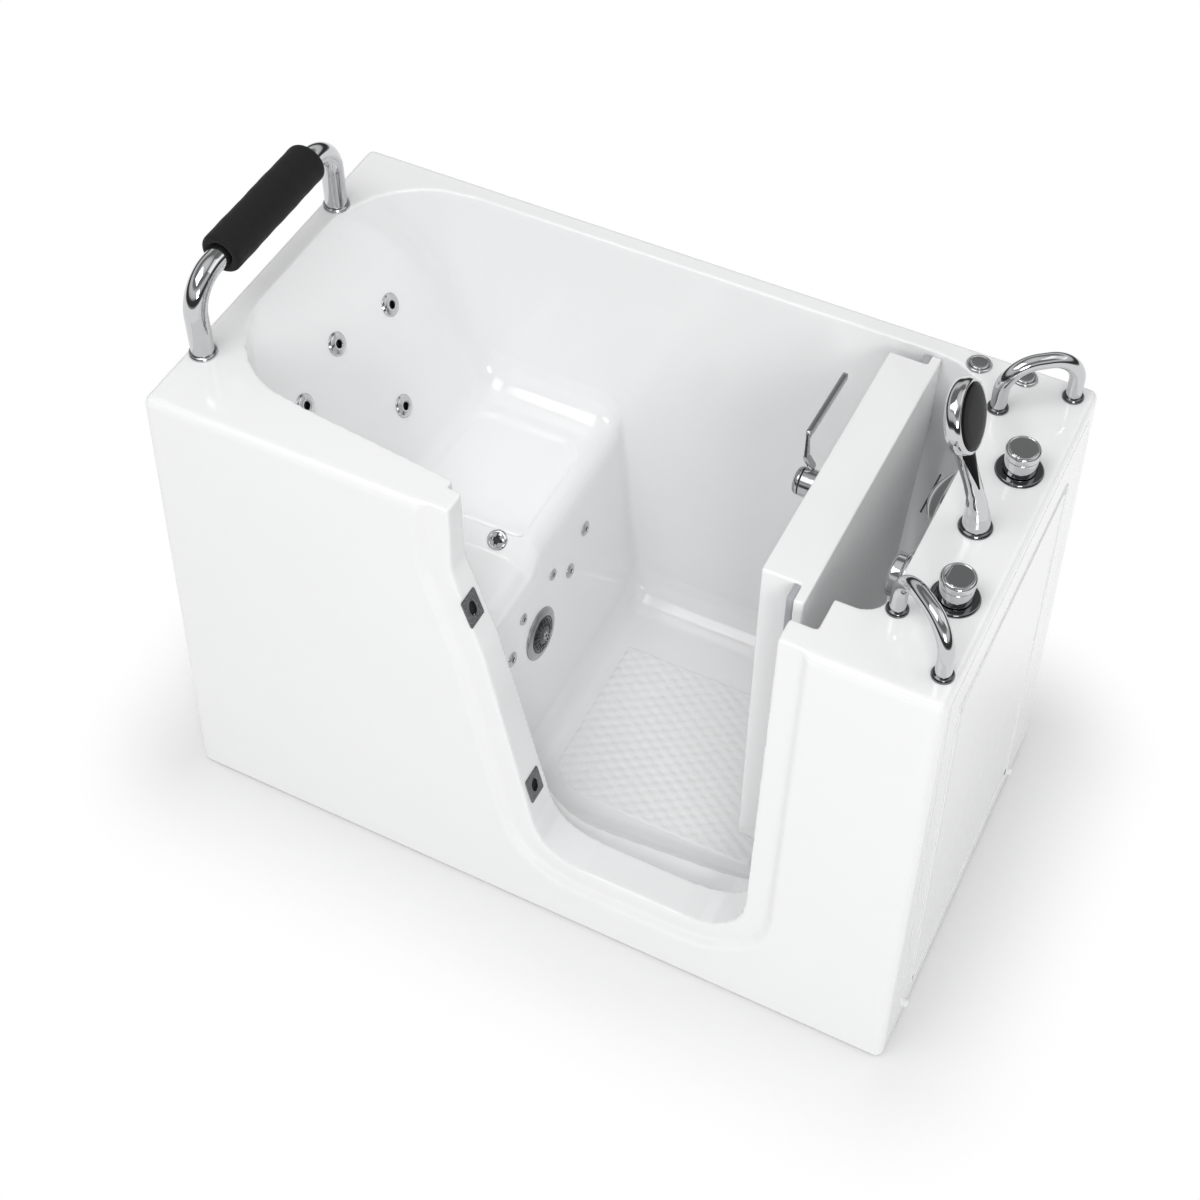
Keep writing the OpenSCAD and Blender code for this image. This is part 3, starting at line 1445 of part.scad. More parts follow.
module drain_trap() {
  x0 = drain_x + drain_r + over;
  color("white") difference() {
    union() {
      post(drain_x, -overflow_front, tail_top, trap_top, drain_r * 1.6);
      translate([x0, -overflow_front, tail_top + outlet_r]) rotate([0, 90, 0])
        cylinder(h = pipe_x - x0, r = outlet_r);
      post(pipe_x, -overflow_front, tail_top, branch_top, tail_r + sleeve_wall);
      post(pipe_x, -overflow_front, skirt_gap, tail_top + over, tail_r);
    }
    post(drain_x, -overflow_front, tail_top + sleeve_wall, tub_h, drain_r - sleeve_wall);
    translate([drain_x, -overflow_front, tail_top + outlet_r]) rotate([0, 90, 0])
      cylinder(h = pipe_x - drain_x, r = outlet_r * 0.6);
    post(pipe_x, -overflow_front, 0, tub_h, tail_r - sleeve_wall);
  }
}

// Jet faces: a flange on the wall with a neck through it and an open throat
module jet_face(r, neck, h) {
  difference() {
    union() {
      rotate_extrude() polygon([[0, 0], [r, 0], [r, h * 0.4], [r * 0.86, h], [0, h]]);
      translate([0, 0, -2.5 * shell_t]) cylinder(h = 2.5 * shell_t + over, r = neck);
    }
    translate([0, 0, -shell_t]) cylinder(h = 3 * shell_t, r = neck * 0.62);
  }
}

// The matching body behind the wall
module jet_body(r, neck) {
  difference() {
    translate([0, 0, -5 * shell_t]) cylinder(h = 4 * shell_t, r = r * 0.95);
    translate([0, 0, -2.5 * shell_t - over]) cylinder(h = 3 * shell_t, r = neck + run_fit);
  }
}

module back_jets() {
  color("dimgray") for (p = back_jet_places) on_backrest(p) jet_face(jet_r, jet_neck_r, jet_h);
}
module riser_jets() {
  color("dimgray") for (p = riser_jet_places) on_riser(p) jet_face(riser_jet_r, riser_neck_r, jet_h);
}
module star_jet() {
  color("dimgray") on_facet() jet_face(jet_r * 0.9, riser_neck_r, jet_h);
}
module jet_bodies() {
  color("lightgray") {
    for (p = back_jet_places) on_backrest(p) jet_body(jet_r, jet_neck_r);
    for (p = riser_jet_places) on_riser(p) jet_body(riser_jet_r, riser_neck_r);
    on_facet() jet_body(riser_jet_r, riser_neck_r);
  }
}

// Suction fitting in the riser
module suction_cover() {
  color("dimgray") on_riser(suction_place) difference() {
    union() {
      rotate_extrude() polygon([
        [0, 0], [suction_r, 0], [suction_r, suction_h * 0.3], [suction_r * 0.8, suction_h * 0.8],
        [suction_r * 0.5, suction_h], [0, suction_h]]);
      translate([0, 0, -2 * shell_t]) cylinder(h = 2 * shell_t + over, r = suction_neck_r);
    }
    for (a = [0 : 30 : 330]) rotate([0, 0, a]) translate([suction_r * 0.3, 0, -3 * shell_t])
      cylinder(h = 3 * shell_t + 2 * suction_h, r = suction_r * 0.055);
  }
}

module suction_body() {
  color("lightgray") on_riser(suction_place) difference() {
    translate([0, 0, -6 * shell_t]) cylinder(h = 5 * shell_t, r = suction_r * 0.9);
    translate([0, 0, -5 * shell_t]) cylinder(h = 5 * shell_t, r = suction_neck_r + run_fit);
  }
}

// Pump, blower and pipes under the seat
tray_top = frame_top + tray_t;
pump_x = riser_x - pump_t / 2;
pump_z = tray_top + pump_r + tray_t;
module pump() {
  color("dimgray") {
    translate([pump_x - pump_t, pump_y, pump_z]) rotate([0, 90, 0]) cylinder(h = pump_t, r = pump_r);
    translate([pump_x - pump_t - motor_l, pump_y, pump_z]) rotate([0, 90,
      0]) cylinder(h = motor_l + over, r = motor_r);
    for (x = [pump_x - pump_t - motor_l * 0.8, pump_x - pump_t])
      block([x, pump_y - motor_r, tray_top], [x + motor_l / 4, pump_y + motor_r, pump_z]);
  }
}

module air_blower() {
  color("black") {
    post(basin_xl + 2 * blower_r, -2 * blower_r, tray_top, tray_top + blower_h, blower_r);
    post(basin_xl + 2 * blower_r, -2 * blower_r, tray_top + blower_h - over,
      tray_top + blower_h + 2 * pipe_r, pipe_r);
  }
}

// Straight pipe between two points along one axis, with a round elbow at its start
module pipe(a, b, r) {
  d = b - a;
  translate(a) sphere(r);
  translate(a) rotate(d.z != 0 ? [d.z > 0 ? 0 : 180, 0, 0] : d.x != 0 ? [0, d.x > 0 ? 90 : -90, 0]
    : [d.y > 0 ? -90 : 90, 0, 0])
    cylinder(h = norm(d), r = r);
}

module pipework() {
  sx = pump_x + pipe_r + 2 * over;
  suction_low = suction_place.y - suction_r * 0.9 - 6 * shell_t * riser_lean_share;
  manifold_z = seat_z - seat_down * manifold_down_share;
  manifold_x = riser_at(manifold_z) - 5 * shell_t - pipe_r - over;
  on_pump = pump_z + sqrt(pump_r * pump_r - pow(pump_r / 2 - pipe_r, 2)) + clear;
  color("gainsboro") {
    pipe([sx, pump_y, pump_z], [pump_x, pump_y, pump_z], pipe_r);
    pipe([sx, suction_place.x, pump_z], [sx, pump_y, pump_z], pipe_r);
    pipe([sx, suction_place.x, pump_z], [sx, suction_place.x, suction_low - clear], pipe_r);
  }
  color("gainsboro") {
    pipe([manifold_x, pump_y - pump_r / 2, manifold_z], [manifold_x, pump_y - pump_r / 2,
      on_pump], pipe_r);
    pipe([manifold_x, pump_y - pump_r / 2, manifold_z], [manifold_x,
      riser_jet_places[0].x + riser_jet_r, manifold_z], pipe_r);
    pipe([manifold_x, pump_y - pump_r / 2, manifold_z], [manifold_x,
      riser_jet_places[2].x - riser_jet_r, manifold_z], pipe_r);
  }
}

// Frame of square tube: ring, cross members, posts to the deck, tray and seat bearer
cross_xs = [-frame_x + 2 * frame_tube, -half_l * 0.46, 0, drain_x - drain_r * 1.6 - 2 * frame_tube];
post_places = [
  [-frame_x + post_w / 2, -frame_y + post_w / 2], [-frame_x + post_w / 2, frame_y - post_w / 2],
  [frame_x - post_w / 2, -half_w * 0.63], [frame_x - post_w / 2, half_w * 0.63]];
bearer_x = backrest_x(seat_z) + seat_back_r;
bearer_front = half_w * 0.54;
bearer_back = half_w * 0.66;
module steel_frame() {
  t = frame_tube;
  color("silver") difference() {
    union() {
      for (s = [-1, 1]) {
        block([-frame_x, s * (frame_y - t / 2) - t / 2, frame_bottom], [frame_x,
          s * (frame_y - t / 2) + t / 2, frame_top]);
        block([s * (frame_x - t / 2) - t / 2, -frame_y + t, frame_bottom],
          [s * (frame_x - t / 2) + t / 2, frame_y - t, frame_top]);
      }
      for (x = cross_xs) block([x - t / 2, -frame_y + t, frame_bottom], [x + t / 2, frame_y - t,
        frame_top]);
      for (p = post_places) block([p.x - post_w / 2, p.y - post_w / 2, frame_top],
        [p.x + post_w / 2, p.y + post_w / 2, tub_h - shell_t - clear]);
      block([-frame_x + 1.5 * t, -frame_y + t / 2, frame_top], [riser_x - t, frame_y - t / 2,
        tray_top]);
      for (y = [-bearer_front, bearer_back - post_w])
        block([bearer_x - post_w / 2, y, tray_top], [bearer_x + post_w / 2, y + post_w,
          seat_z - shell_t - post_w]);
      block([bearer_x - post_w / 2, -bearer_front, seat_z - shell_t - post_w],
        [bearer_x + post_w / 2, bearer_back, seat_z - shell_t]);
    }
    for (f = foot_places) post(f.x, f.y, 0, frame_top - frame_wall, foot_stud_r + clear);
  }
}

foot_places = [
  for (x = [-frame_x + frame_tube / 2, 0, frame_x - frame_tube / 2], y = [-frame_y + frame_tube / 2,
    frame_y - frame_tube / 2]) [x, y],
  [0, 0]];
module levelling_feet() {
  color("dimgray") for (f = foot_places) {
    post(f.x, f.y, 0, foot_t, foot_r);
    post(f.x, f.y, 0, frame_top - 2 * frame_wall, foot_stud_r);
    post(f.x, f.y, frame_bottom - foot_nut_t, frame_bottom, 2 * foot_stud_r);
  }
}

basin_shell();
front_apron();
back_skirt();
left_skirt();
end_skirt();
skirt_caps();
access_panel();
panel_screws();
door_shell();
door_liner();
door_seal();
door_hinge_leaves();
jamb_hinge_leaves();
hinge_pins();
latch_housing();
latch_spindle();
latch_lever();
latch_cap();
drive_bar();
bolt_upper();
bolt_lower();
bolt_guides();
striker_upper();
striker_lower();
front_rail();
back_rail();
rail_rings();
neck_bar();
neck_rings();
neck_sleeve();
deck_nuts();
tap_rings();
tap_valves();
hot_knob();
cold_knob();
shower_socket();
shower_body();
shower_back();
shower_grip();
spout();
button_rings();
button_front();
button_back();
overflow_ring();
overflow_knob();
overflow_pipe();
drain_body();
drain_plug();
drain_trap();
back_jets();
riser_jets();
star_jet();
jet_bodies();
suction_cover();
suction_body();
pump();
air_blower();
pipework();
steel_frame();
levelling_feet();
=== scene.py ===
import math

import bmesh
import bpy
from mathutils import Matrix, Vector


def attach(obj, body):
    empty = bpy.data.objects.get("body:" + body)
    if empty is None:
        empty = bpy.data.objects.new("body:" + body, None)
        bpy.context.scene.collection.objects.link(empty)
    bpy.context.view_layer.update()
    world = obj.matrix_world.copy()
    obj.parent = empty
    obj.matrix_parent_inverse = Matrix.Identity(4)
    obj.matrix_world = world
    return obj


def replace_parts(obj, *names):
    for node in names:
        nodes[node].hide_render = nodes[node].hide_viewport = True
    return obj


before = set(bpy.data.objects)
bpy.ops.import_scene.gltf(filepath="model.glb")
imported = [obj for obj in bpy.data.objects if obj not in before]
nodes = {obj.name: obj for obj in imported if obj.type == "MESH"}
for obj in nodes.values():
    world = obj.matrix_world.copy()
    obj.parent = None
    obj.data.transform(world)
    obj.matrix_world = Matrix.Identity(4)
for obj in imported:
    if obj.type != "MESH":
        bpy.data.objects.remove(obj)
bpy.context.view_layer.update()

# Sizes and places in millimetres, as in the part's source
MM = 0.001
HALF_L, HALF_W, TOP = 652.0, 340.0, 928.0
BASIN_XR, BASIN_XL = 515.0, -609.0
RISER_X, SEAT_Z, FLOOR_Z = -151.0, 515.0, 75.0
END_FLARE = 20.0
PIN = (420.0, -247.0)
FACE_Y, REVEAL_Y = -337.0, -322.0

# Lean of the basin's walls, in millimetres of run for each of height
BACKREST_LEAN, RISER_LEAN, TAP_WALL_LEAN = 0.5, 0.1, 0.018

# Where the fittings stand
NECK_X, NECK_FEET_Y = -622.0, (-213.0, 182.0)
NECK_R, NECK_RISE, NECK_BEND = 19.0, 142.0, 60.0
FRONT_FEET = ((531.0, -205.0), (628.0, -284.0))
BACK_FEET = ((524.0, 230.0), (619.0, 304.0))
RAIL_R, RAIL_RISE, RAIL_BEND = 12.5, 92.0, 52.0
FOOT_SUNK = 4.0
TAP_X, COLD_Y, HOT_Y = 596.0, -150.0, 122.0
SHOWER_FOOT = Vector((576.0, -12.0, TOP))
SHOWER_HEAD = SHOWER_FOOT + Vector((-32.0, 0, 214.0))
HEAD_YAW, HEAD_PITCH = math.radians(2.0), math.radians(19.0)
SPOUT_Y, SPOUT_Z = 38.0, TOP - 20.0
OVERFLOW_Y, OVERFLOW_Z = -105.0, TOP - 50.0
DRAIN_X, DRAIN_Y = 405.0, -105.0
BUTTONS = (("front_button", 467.0, 307.0, "button_front"), ("back_button", 540.0, 310.0, "button_back"))
LATCH_X, LATCH_Z = 161.0, 866.0
REVEAL = ((150.0, 33.0), (625.0, -68.0), (790.0, -118.0))
UPPER_STRIKER_Z, LOWER_STRIKER_Z = 710.0, 295.0
CAPS = ((-272.0, 28.0), (248.0, 30.0))


# Materials
def new_material(name):
    m = bpy.data.materials.new(name)
    m.use_nodes = True
    t = m.node_tree
    return m, t, t.nodes["Principled BSDF"], t.links


def noise_node(t, coords, scale, detail=3.0, rough=0.5, stretch=None):
    n = t.nodes.new("ShaderNodeTexNoise")
    n.inputs["Scale"].default_value = scale
    n.inputs["Detail"].default_value = detail
    n.inputs["Roughness"].default_value = rough
    if stretch:
        mp = t.nodes.new("ShaderNodeMapping")
        mp.inputs["Scale"].default_value = stretch
        t.links.new(coords, mp.inputs["Vector"])
        coords = mp.outputs["Vector"]
    t.links.new(coords, n.inputs["Vector"])
    return n.outputs["Fac"]


def ranged(t, value, lo, hi, a=0.3, b=0.7):
    r = t.nodes.new("ShaderNodeMapRange")
    r.inputs["From Min"].default_value = a
    r.inputs["From Max"].default_value = b
    r.inputs["To Min"].default_value = lo
    r.inputs["To Max"].default_value = hi
    t.links.new(value, r.inputs["Value"])
    return r.outputs["Result"]


def surface(name, base, rough, vary=0.03, metallic=0.0, scale=25.0, fine=300.0, bump=0.02, bump_mm=0.4,
            coat=0.0, rough_vary=0.04, stretch=None, sheen=0.0, ior=1.5):
    """A finish whose colour, gloss and relief all vary a little over the surface."""
    m, t, b, links = new_material(name)
    co = t.nodes.new("ShaderNodeTexCoord").outputs["Object"]
    broad = noise_node(t, co, scale, 4.0, 0.55)
    small = noise_node(t, co, fine, 3.0, 0.6, stretch)
    mix = t.nodes.new("ShaderNodeMix")
    mix.data_type = "RGBA"
    mix.inputs["A"].default_value = (*[max(c * (1 - vary), 0) for c in base], 1)
    mix.inputs["B"].default_value = (*[min(c * (1 + vary), 1) for c in base], 1)
    links.new(broad, mix.inputs["Factor"])
    links.new(mix.outputs["Result"], b.inputs["Base Color"])
    links.new(ranged(t, small, max(rough - rough_vary, 0.01), rough + rough_vary), b.inputs["Roughness"])
    bp = t.nodes.new("ShaderNodeBump")
    bp.inputs["Strength"].default_value = bump
    bp.inputs["Distance"].default_value = bump_mm * MM
    links.new(small, bp.inputs["Height"])
    links.new(bp.outputs["Normal"], b.inputs["Normal"])
    b.inputs["Metallic"].default_value = metallic
    b.inputs["IOR"].default_value = ior
    if coat:
        b.inputs["Coat Weight"].default_value = coat
        b.inputs["Coat Roughness"].default_value = 0.04
    if sheen:
        b.inputs["Sheen Weight"].default_value = sheen
        b.inputs["Sheen Roughness"].default_value = 0.5
    return m


BRUSHED = (0.25, 1.0, 1.0)
GELCOAT = surface("gelcoat", (0.94, 0.943, 0.948), 0.12, vary=0.008, scale=3.0, fine=70.0,
                  bump=0.05, bump_mm=0.15, coat=0.35, rough_vary=0.03)
DOOR_COAT = surface("door_gelcoat", (0.935, 0.938, 0.943), 0.14, vary=0.008, scale=4.0, fine=60.0,
                    bump=0.05, bump_mm=0.15, coat=0.3, rough_vary=0.03)
GRIP_COAT = surface("floor_gelcoat", (0.94, 0.943, 0.947), 0.28, vary=0.012, scale=30.0, fine=400.0,
                    bump=0.1, bump_mm=0.15, coat=0.1, rough_vary=0.06)
CHROME = surface("chrome", (0.60, 0.605, 0.615), 0.045, vary=0.02, metallic=1.0, scale=20.0, fine=500.0,
                 bump=0.01, bump_mm=0.05, rough_vary=0.02)
DARK_CHROME = surface("dark_chrome", (0.2, 0.203, 0.21), 0.09, vary=0.04, metallic=1.0, scale=30.0,
                      fine=500.0, bump=0.02, bump_mm=0.05, rough_vary=0.03)
LATCH = surface("latch_metal", (0.42, 0.425, 0.435), 0.17, vary=0.05, metallic=1.0, scale=40.0, fine=420.0,
                bump=0.05, bump_mm=0.1, rough_vary=0.05, stretch=BRUSHED)
PLATE = surface("plate_metal", (0.2, 0.203, 0.21), 0.3, vary=0.06, metallic=1.0, scale=40.0, fine=420.0,
                bump=0.06, bump_mm=0.1, rough_vary=0.08)
GLOSS_BLACK = surface("gloss_black", (0.009, 0.009, 0.0095), 0.22, vary=0.25, scale=40.0, fine=700.0,
                      bump=0.04, bump_mm=0.1, rough_vary=0.05, ior=1.12)
# Near-black matte fill that is painted shade, for the latch's groove and the strikers' holes
SHADE_BLACK = surface("painted_shade_black", (0.004, 0.004, 0.004), 0.85, vary=0.3, scale=80.0, fine=900.0,
               bump=0.1, bump_mm=0.1)
SATIN = surface("satin_metal", (0.52, 0.53, 0.55), 0.28, vary=0.05, metallic=1.0, scale=40.0, fine=420.0,
                bump=0.06, bump_mm=0.1, rough_vary=0.08, stretch=BRUSHED)
STEEL = surface("steel", (0.5, 0.51, 0.52), 0.34, vary=0.08, metallic=1.0, scale=18.0, fine=260.0,
                bump=0.15, bump_mm=0.2, rough_vary=0.1)
FOAM = surface("foam", (0.009, 0.009, 0.0095), 0.75, vary=0.25, scale=90.0, fine=1300.0,
               bump=0.55, bump_mm=0.35, rough_vary=0.08, sheen=0.05, ior=1.35)
BLACK = surface("black_plastic", (0.012, 0.012, 0.013), 0.16, vary=0.2, scale=40.0, fine=700.0,
                bump=0.04, bump_mm=0.1, rough_vary=0.05, coat=0.4)
BLACK_SATIN = surface("black_satin", (0.02, 0.02, 0.021), 0.42, vary=0.2, scale=60.0, fine=900.0,
                      bump=0.15, bump_mm=0.12, rough_vary=0.08)
SEAL = surface("seal_rubber", (0.42, 0.43, 0.45), 0.55, vary=0.06, scale=60.0, fine=800.0,
               bump=0.2, bump_mm=0.15, rough_vary=0.08)
PIPE = surface("pipe_plastic", (0.78, 0.79, 0.8), 0.36, vary=0.03, scale=30.0, fine=400.0,
               bump=0.08, bump_mm=0.1, rough_vary=0.08)
PUMP = surface("pump_paint", (0.035, 0.036, 0.04), 0.38, vary=0.15, scale=30.0, fine=500.0,
               bump=0.25, bump_mm=0.15, rough_vary=0.1)
BRASS = surface("brass", (0.66, 0.48, 0.22), 0.26, vary=0.08, metallic=1.0, scale=30.0, fine=400.0,
                bump=0.08, bump_mm=0.1, rough_vary=0.08)


# Geometry helpers, all in millimetres. A part is (verts, faces)
def make(name, part, material, body, smooth=38.0, merge=True):
    """A piece on a body, smooth but at edges sharper than the given degrees."""
    me = bpy.data.meshes.new(name)
    me.from_pydata([tuple(Vector(v) * MM) for v in part[0]], [], [tuple(f) for f in part[1]])
    bm = bmesh.new()
    bm.from_mesh(me)
    if merge:
        bmesh.ops.remove_doubles(bm, verts=bm.verts, dist=1e-6)
    bmesh.ops.recalc_face_normals(bm, faces=bm.faces)
    bm.to_mesh(me)
    bm.free()
    me.shade_smooth()
    me.set_sharp_from_angle(angle=math.radians(smooth))
    me.materials.append(material)
    o = bpy.data.objects.new(name, me)
    bpy.context.scene.collection.objects.link(o)
    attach(o, body)
    return o


def joined(*parts):
    """One part from several."""
    verts, faces = [], []
    for v, f in parts:
        n = len(verts)
        verts += list(v)
        faces += [tuple(i + n for i in q) for q in f]
    return verts, faces


def moved(part, m):
    return [m @ Vector(v) for v in part[0]], part[1]


def at(*place_mm):
    return Matrix.Translation(Vector(place_mm))


def place(origin, z=(0, 0, 1), x=None):
    """Frame at origin with its z along z and its x as near x as it can be."""
    w = Vector(z).normalized()
    hint = Vector(x) if x is not None else (Vector((0, 0, 1)) if abs(w.z) < 0.9 else Vector((1, 0, 0)))
    u = (hint - w * hint.dot(w)).normalized()
    v = w.cross(u)
    m = Matrix((u, v, w)).transposed().to_4x4()
    return Matrix.Translation(Vector(origin)) @ m


def circle(a, b, z, n):
    """Points of an ellipse at a height."""
    return [(a * math.cos(2 * math.pi * k / n), b * math.sin(2 * math.pi * k / n), z) for k in range(n)]


def filleted(pts, n=5):
    """Profile of (r, z) or (r, z, radius) points with its corners rounded."""
    out = []
    for i, p in enumerate(pts):
        f = p[2] if len(p) > 2 else 0
        if f <= 0 or i in (0, len(pts) - 1):
            out.append((p[0], p[1]))
            continue
        a, c, b = Vector(pts[i - 1][:2]), Vector(p[:2]), Vector(pts[i + 1][:2])
        fa, fb = min(f, (a - c).length * 0.49), min(f, (b - c).length * 0.49)
        s, e = c + (a - c).normalized() * fa, c + (b - c).normalized() * fb
        for k in range(n + 1):
            q = k / n
            v = s * (1 - q) ** 2 + c * 2 * q * (1 - q) + e * q * q
            out.append((v.x, v.y))
    return out


def lathe(profile, seg=72):
    """Profile turned round the z axis."""
    verts, rings = [], []
    for r, z in filleted(profile):
        if abs(r) < 1e-6:
            rings.append([len(verts)])
            verts.append((0, 0, z))
        else:
            rings.append(list(range(len(verts), len(verts) + seg)))
            verts += circle(r, r, z, seg)
    faces = []
    for a, b in zip(rings, rings[1:]):
        for k in range(seg):
            j = (k + 1) % seg
            if len(a) == 1 and len(b) == 1:
                continue
            if len(a) == 1:
                faces.append((a[0], b[k], b[j]))
            elif len(b) == 1:
                faces.append((a[k], b[0], a[j]))
            else:
                faces.append((a[k], b[k], b[j], a[j]))
    return verts, faces


def loft(rings, caps=True, closed=True):
    verts = [p for r in rings for p in r]
    n = len(rings[0])
    faces = []
    for i in range(len(rings) - 1):
        for k in range(n if closed else n - 1):
            j = (k + 1) % n
            faces.append((i * n + k, i * n + j, (i + 1) * n + j, (i + 1) * n + k))
    if caps:
        faces.append(tuple(range(n))[::-1])
        faces.append(tuple((len(rings) - 1) * n + k for k in range(n)))
    return verts, faces


def frames_along(path):
    """Point, tangent, side and up at each point of a path, without twist."""
    pts = [Vector(p) for p in path]
    tang = []
    for i in range(len(pts)):
        a, b = pts[max(i - 1, 0)], pts[min(i + 1, len(pts) - 1)]
        tang.append((b - a).normalized())
    up = Vector((0, 0, 1)) if abs(tang[0].z) < 0.9 else Vector((1, 0, 0))
    u = (up - tang[0] * up.dot(tang[0])).normalized()
    out = []
    for p, t in zip(pts, tang):
        u = (u - t * u.dot(t)).normalized()
        out.append((p, t, u, t.cross(u)))
    return out


def tube(path, radius, seg=36):
    """Tube along a path. Its radius is a number, or a function that gives two half widths."""
    rings = []
    for i, (p, _, u, v) in enumerate(frames_along(path)):
        a, b = radius(i / (len(path) - 1)) if callable(radius) else (radius, radius)
        rings.append([p + u * x + v * y for x, y, _ in circle(a, b, 0, seg)])
    return loft(rings)


def rounded_path(pts, radii, n=14):
    """Points of a polyline with round corners."""
    out = [Vector(pts[0])]
    for i in range(1, len(pts) - 1):
        a, c, b = Vector(pts[i - 1]), Vector(pts[i]), Vector(pts[i + 1])
        u, v = (a - c).normalized(), (b - c).normalized()
        half = u.angle(v) / 2
        r = radii[i - 1]
        d = r / math.tan(half)
        centre = c + (u + v).normalized() * (r / math.sin(half))
        s, e = c + u * d - centre, c + v * d - centre
        sweep = s.angle(e)
        axis = s.cross(e).normalized()
        for k in range(n + 1):
            out.append(centre + Matrix.Rotation(sweep * k / n, 3, axis) @ s)
    out.append(Vector(pts[-1]))
    return out


def rounded_box(sx, sy, sz, r):
    """Box about the origin with round edges."""
    bm = bmesh.new()
    bmesh.ops.create_cube(bm, size=1.0)
    bmesh.ops.scale(bm, vec=(sx, sy, sz), verts=bm.verts)
    bmesh.ops.bevel(bm, geom=list(bm.edges), offset=r, segments=4, profile=0.5, affect="EDGES")
    bm.verts.ensure_lookup_table()
    out = [v.co.copy() for v in bm.verts], [tuple(v.index for v in f.verts) for f in bm.faces]
    bm.free()
    return out


def opened(part):
    """Closed-pose door coordinates to the open rest pose."""
    x, y = PIN
    return moved(part, at(x, y, 0) @ Matrix.Rotation(-math.pi / 2, 4, "Z") @ at(-x, -y, 0))


def cad_finish(material, *names):
    """A material and shading for CAD nodes that stay."""
    for n in names:
        o = nodes[n]
        o.data.materials.clear()
        o.data.materials.append(material)
        o.data.shade_smooth()
        o.data.set_sharp_from_angle(angle=math.radians(32))


# The moulded tub and door
def moulded(name, names, material, body, voxel, passes, extra=None):
    """Copies of CAD nodes fused into one moulding with softly rounded edges."""
    parts = []
    for n in names:
        me = nodes[n].data
        parts.append(([v.co.copy() for v in me.vertices], [tuple(p.vertices) for p in me.polygons]))
    if extra:
        parts.append(([Vector(v) * MM for v in extra[0]], extra[1]))
    verts, faces = joined(*parts)
    me = bpy.data.meshes.new(name)
    me.from_pydata(verts, [], faces)
    bm = bmesh.new()
    bm.from_mesh(me)
    bmesh.ops.remove_doubles(bm, verts=bm.verts, dist=1e-6)
    bm.to_mesh(me)
    bm.free()
    o = bpy.data.objects.new(name, me)
    bpy.context.scene.collection.objects.link(o)
    rm = o.modifiers.new("fuse", "REMESH")
    rm.mode = "VOXEL"
    rm.voxel_size = voxel * MM
    rm.adaptivity = 0.0
    sm = o.modifiers.new("soften", "SMOOTH")
    sm.factor = 0.5
    sm.iterations = passes
    dg = bpy.context.evaluated_depsgraph_get()
    done = bpy.data.meshes.new_from_object(o.evaluated_get(dg))
    o.modifiers.clear()
    o.data = done
    bpy.data.meshes.remove(me)
    done.name = name
    done.shade_smooth()
    done.materials.clear()
    done.materials.append(material)
    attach(o, body)
    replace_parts(o, *names)
    return o


def dish_seat(me):
    """Shallow dish in the seat, with a raised border round it."""
    x0, x1, y0, y1, r, run, depth = -398.0, -174.0, -160.0, 222.0, 46.0, 13.0, 5.0
    for v in me.vertices:
        x, y, z = (c / MM for c in v.co)
        if not (x0 < x < x1 and y0 < y < y1 and abs(z - SEAT_Z) < 5.0):
            continue
        ex, ey = min(x - x0, x1 - x), min(y - y0, y1 - y)
        d = r - math.hypot(r - ex, r - ey) if ex < r and ey < r else min(ex, ey)
        if d > 0:
            q = min(d / run, 1.0)
            v.co.z -= depth * MM * q * q * (3 - 2 * q)
    me.update()


def floor_bumps():
    """Low diamond bumps over the footwell floor, fading into it at the border."""
    step = 2.2
    x0, x1, y0, y1 = -66.0, 352.0, -186.0, 172.0
    border, pitch_x, pitch_y, corner, fade = 7.0, 35.3, 22.2, 191.0, 7.0
    bed, bed_rise, bump_rise = 1.2, 1.3, 2.1
    nx, ny = int((x1 - x0) / step), int((y1 - y0) / step)

    def inside(x, y):
        cut = (x + y + corner) / math.sqrt(2) + 6.0
        d = min(x - x0 - border, x1 - border - x, y - y0 - border, y1 - border - y, cut)
        return max(0.0, min(1.0, d / fade))

    verts, faces = [], []
    for j in range(ny + 1):
        for i in range(nx + 1):
            x, y = x0 + (x1 - x0) * i / nx, y0 + (y1 - y0) * j / ny
            a, b = 2 * math.pi * (x / pitch_x + y / pitch_y), 2 * math.pi * (x / pitch_x - y / pitch_y)
            h = (0.5 + 0.25 * (math.cos(a) + math.cos(b))) ** 0.8
            e = inside(x, y)
            verts.append((x, y, FLOOR_Z - bed + bed_rise * min(e * 3, 1) + bump_rise * h * e))
    for j in range(ny):
        for i in range(nx):
            k = j * (nx + 1) + i
            faces.append((k, k + 1, k + nx + 2, k + nx + 1))
    make("floor_bumps", (verts, faces), GRIP_COAT, "tub", smooth=80, merge=False)


tub_nodes = ["basin_shell", "front_apron", "back_skirt", "left_skirt"]
tub = moulded("tub_moulding", tub_nodes, GELCOAT, "tub", 3.0, 5)
dish_seat(tub.data)
top_strip = moved(rounded_box(14.0, 497.0, 15.0, 1.0), at(388.5, 30.5, 912.0))
moulded("door_moulding", ["door_shell", "door_liner"], DOOR_COAT, "door", 2.4,
        5, extra=top_strip)
moulded("door_gasket", ["door_seal"], SEAL, "door", 1.6, 3)
floor_bumps()


# Bars and rails
def arch(a, b, rise, bend, r, seg):
    """Arched tube whose feet stand a little inside the deck."""
    (xa, ya), (xb, yb) = a, b
    low, high = TOP - FOOT_SUNK, TOP - FOOT_SUNK + rise
    path = rounded_path([(xa, ya, low), (xa, ya, high), (xb, yb, high), (xb, yb, low)], [bend, bend], 18)
    return tube(path, r, seg)


def foot_rings(feet, r, seg):
    w, h = 4.5, 6.0
    prof = [(r - 1.5, -0.3), (r + w, -0.3), (r + w, h * 0.45, 1.2), (r + w * 0.55, h, 1.2), (r - 1.5, h)]
    return joined(*[moved(lathe(prof, seg), at(x, y, TOP)) for x, y in feet])


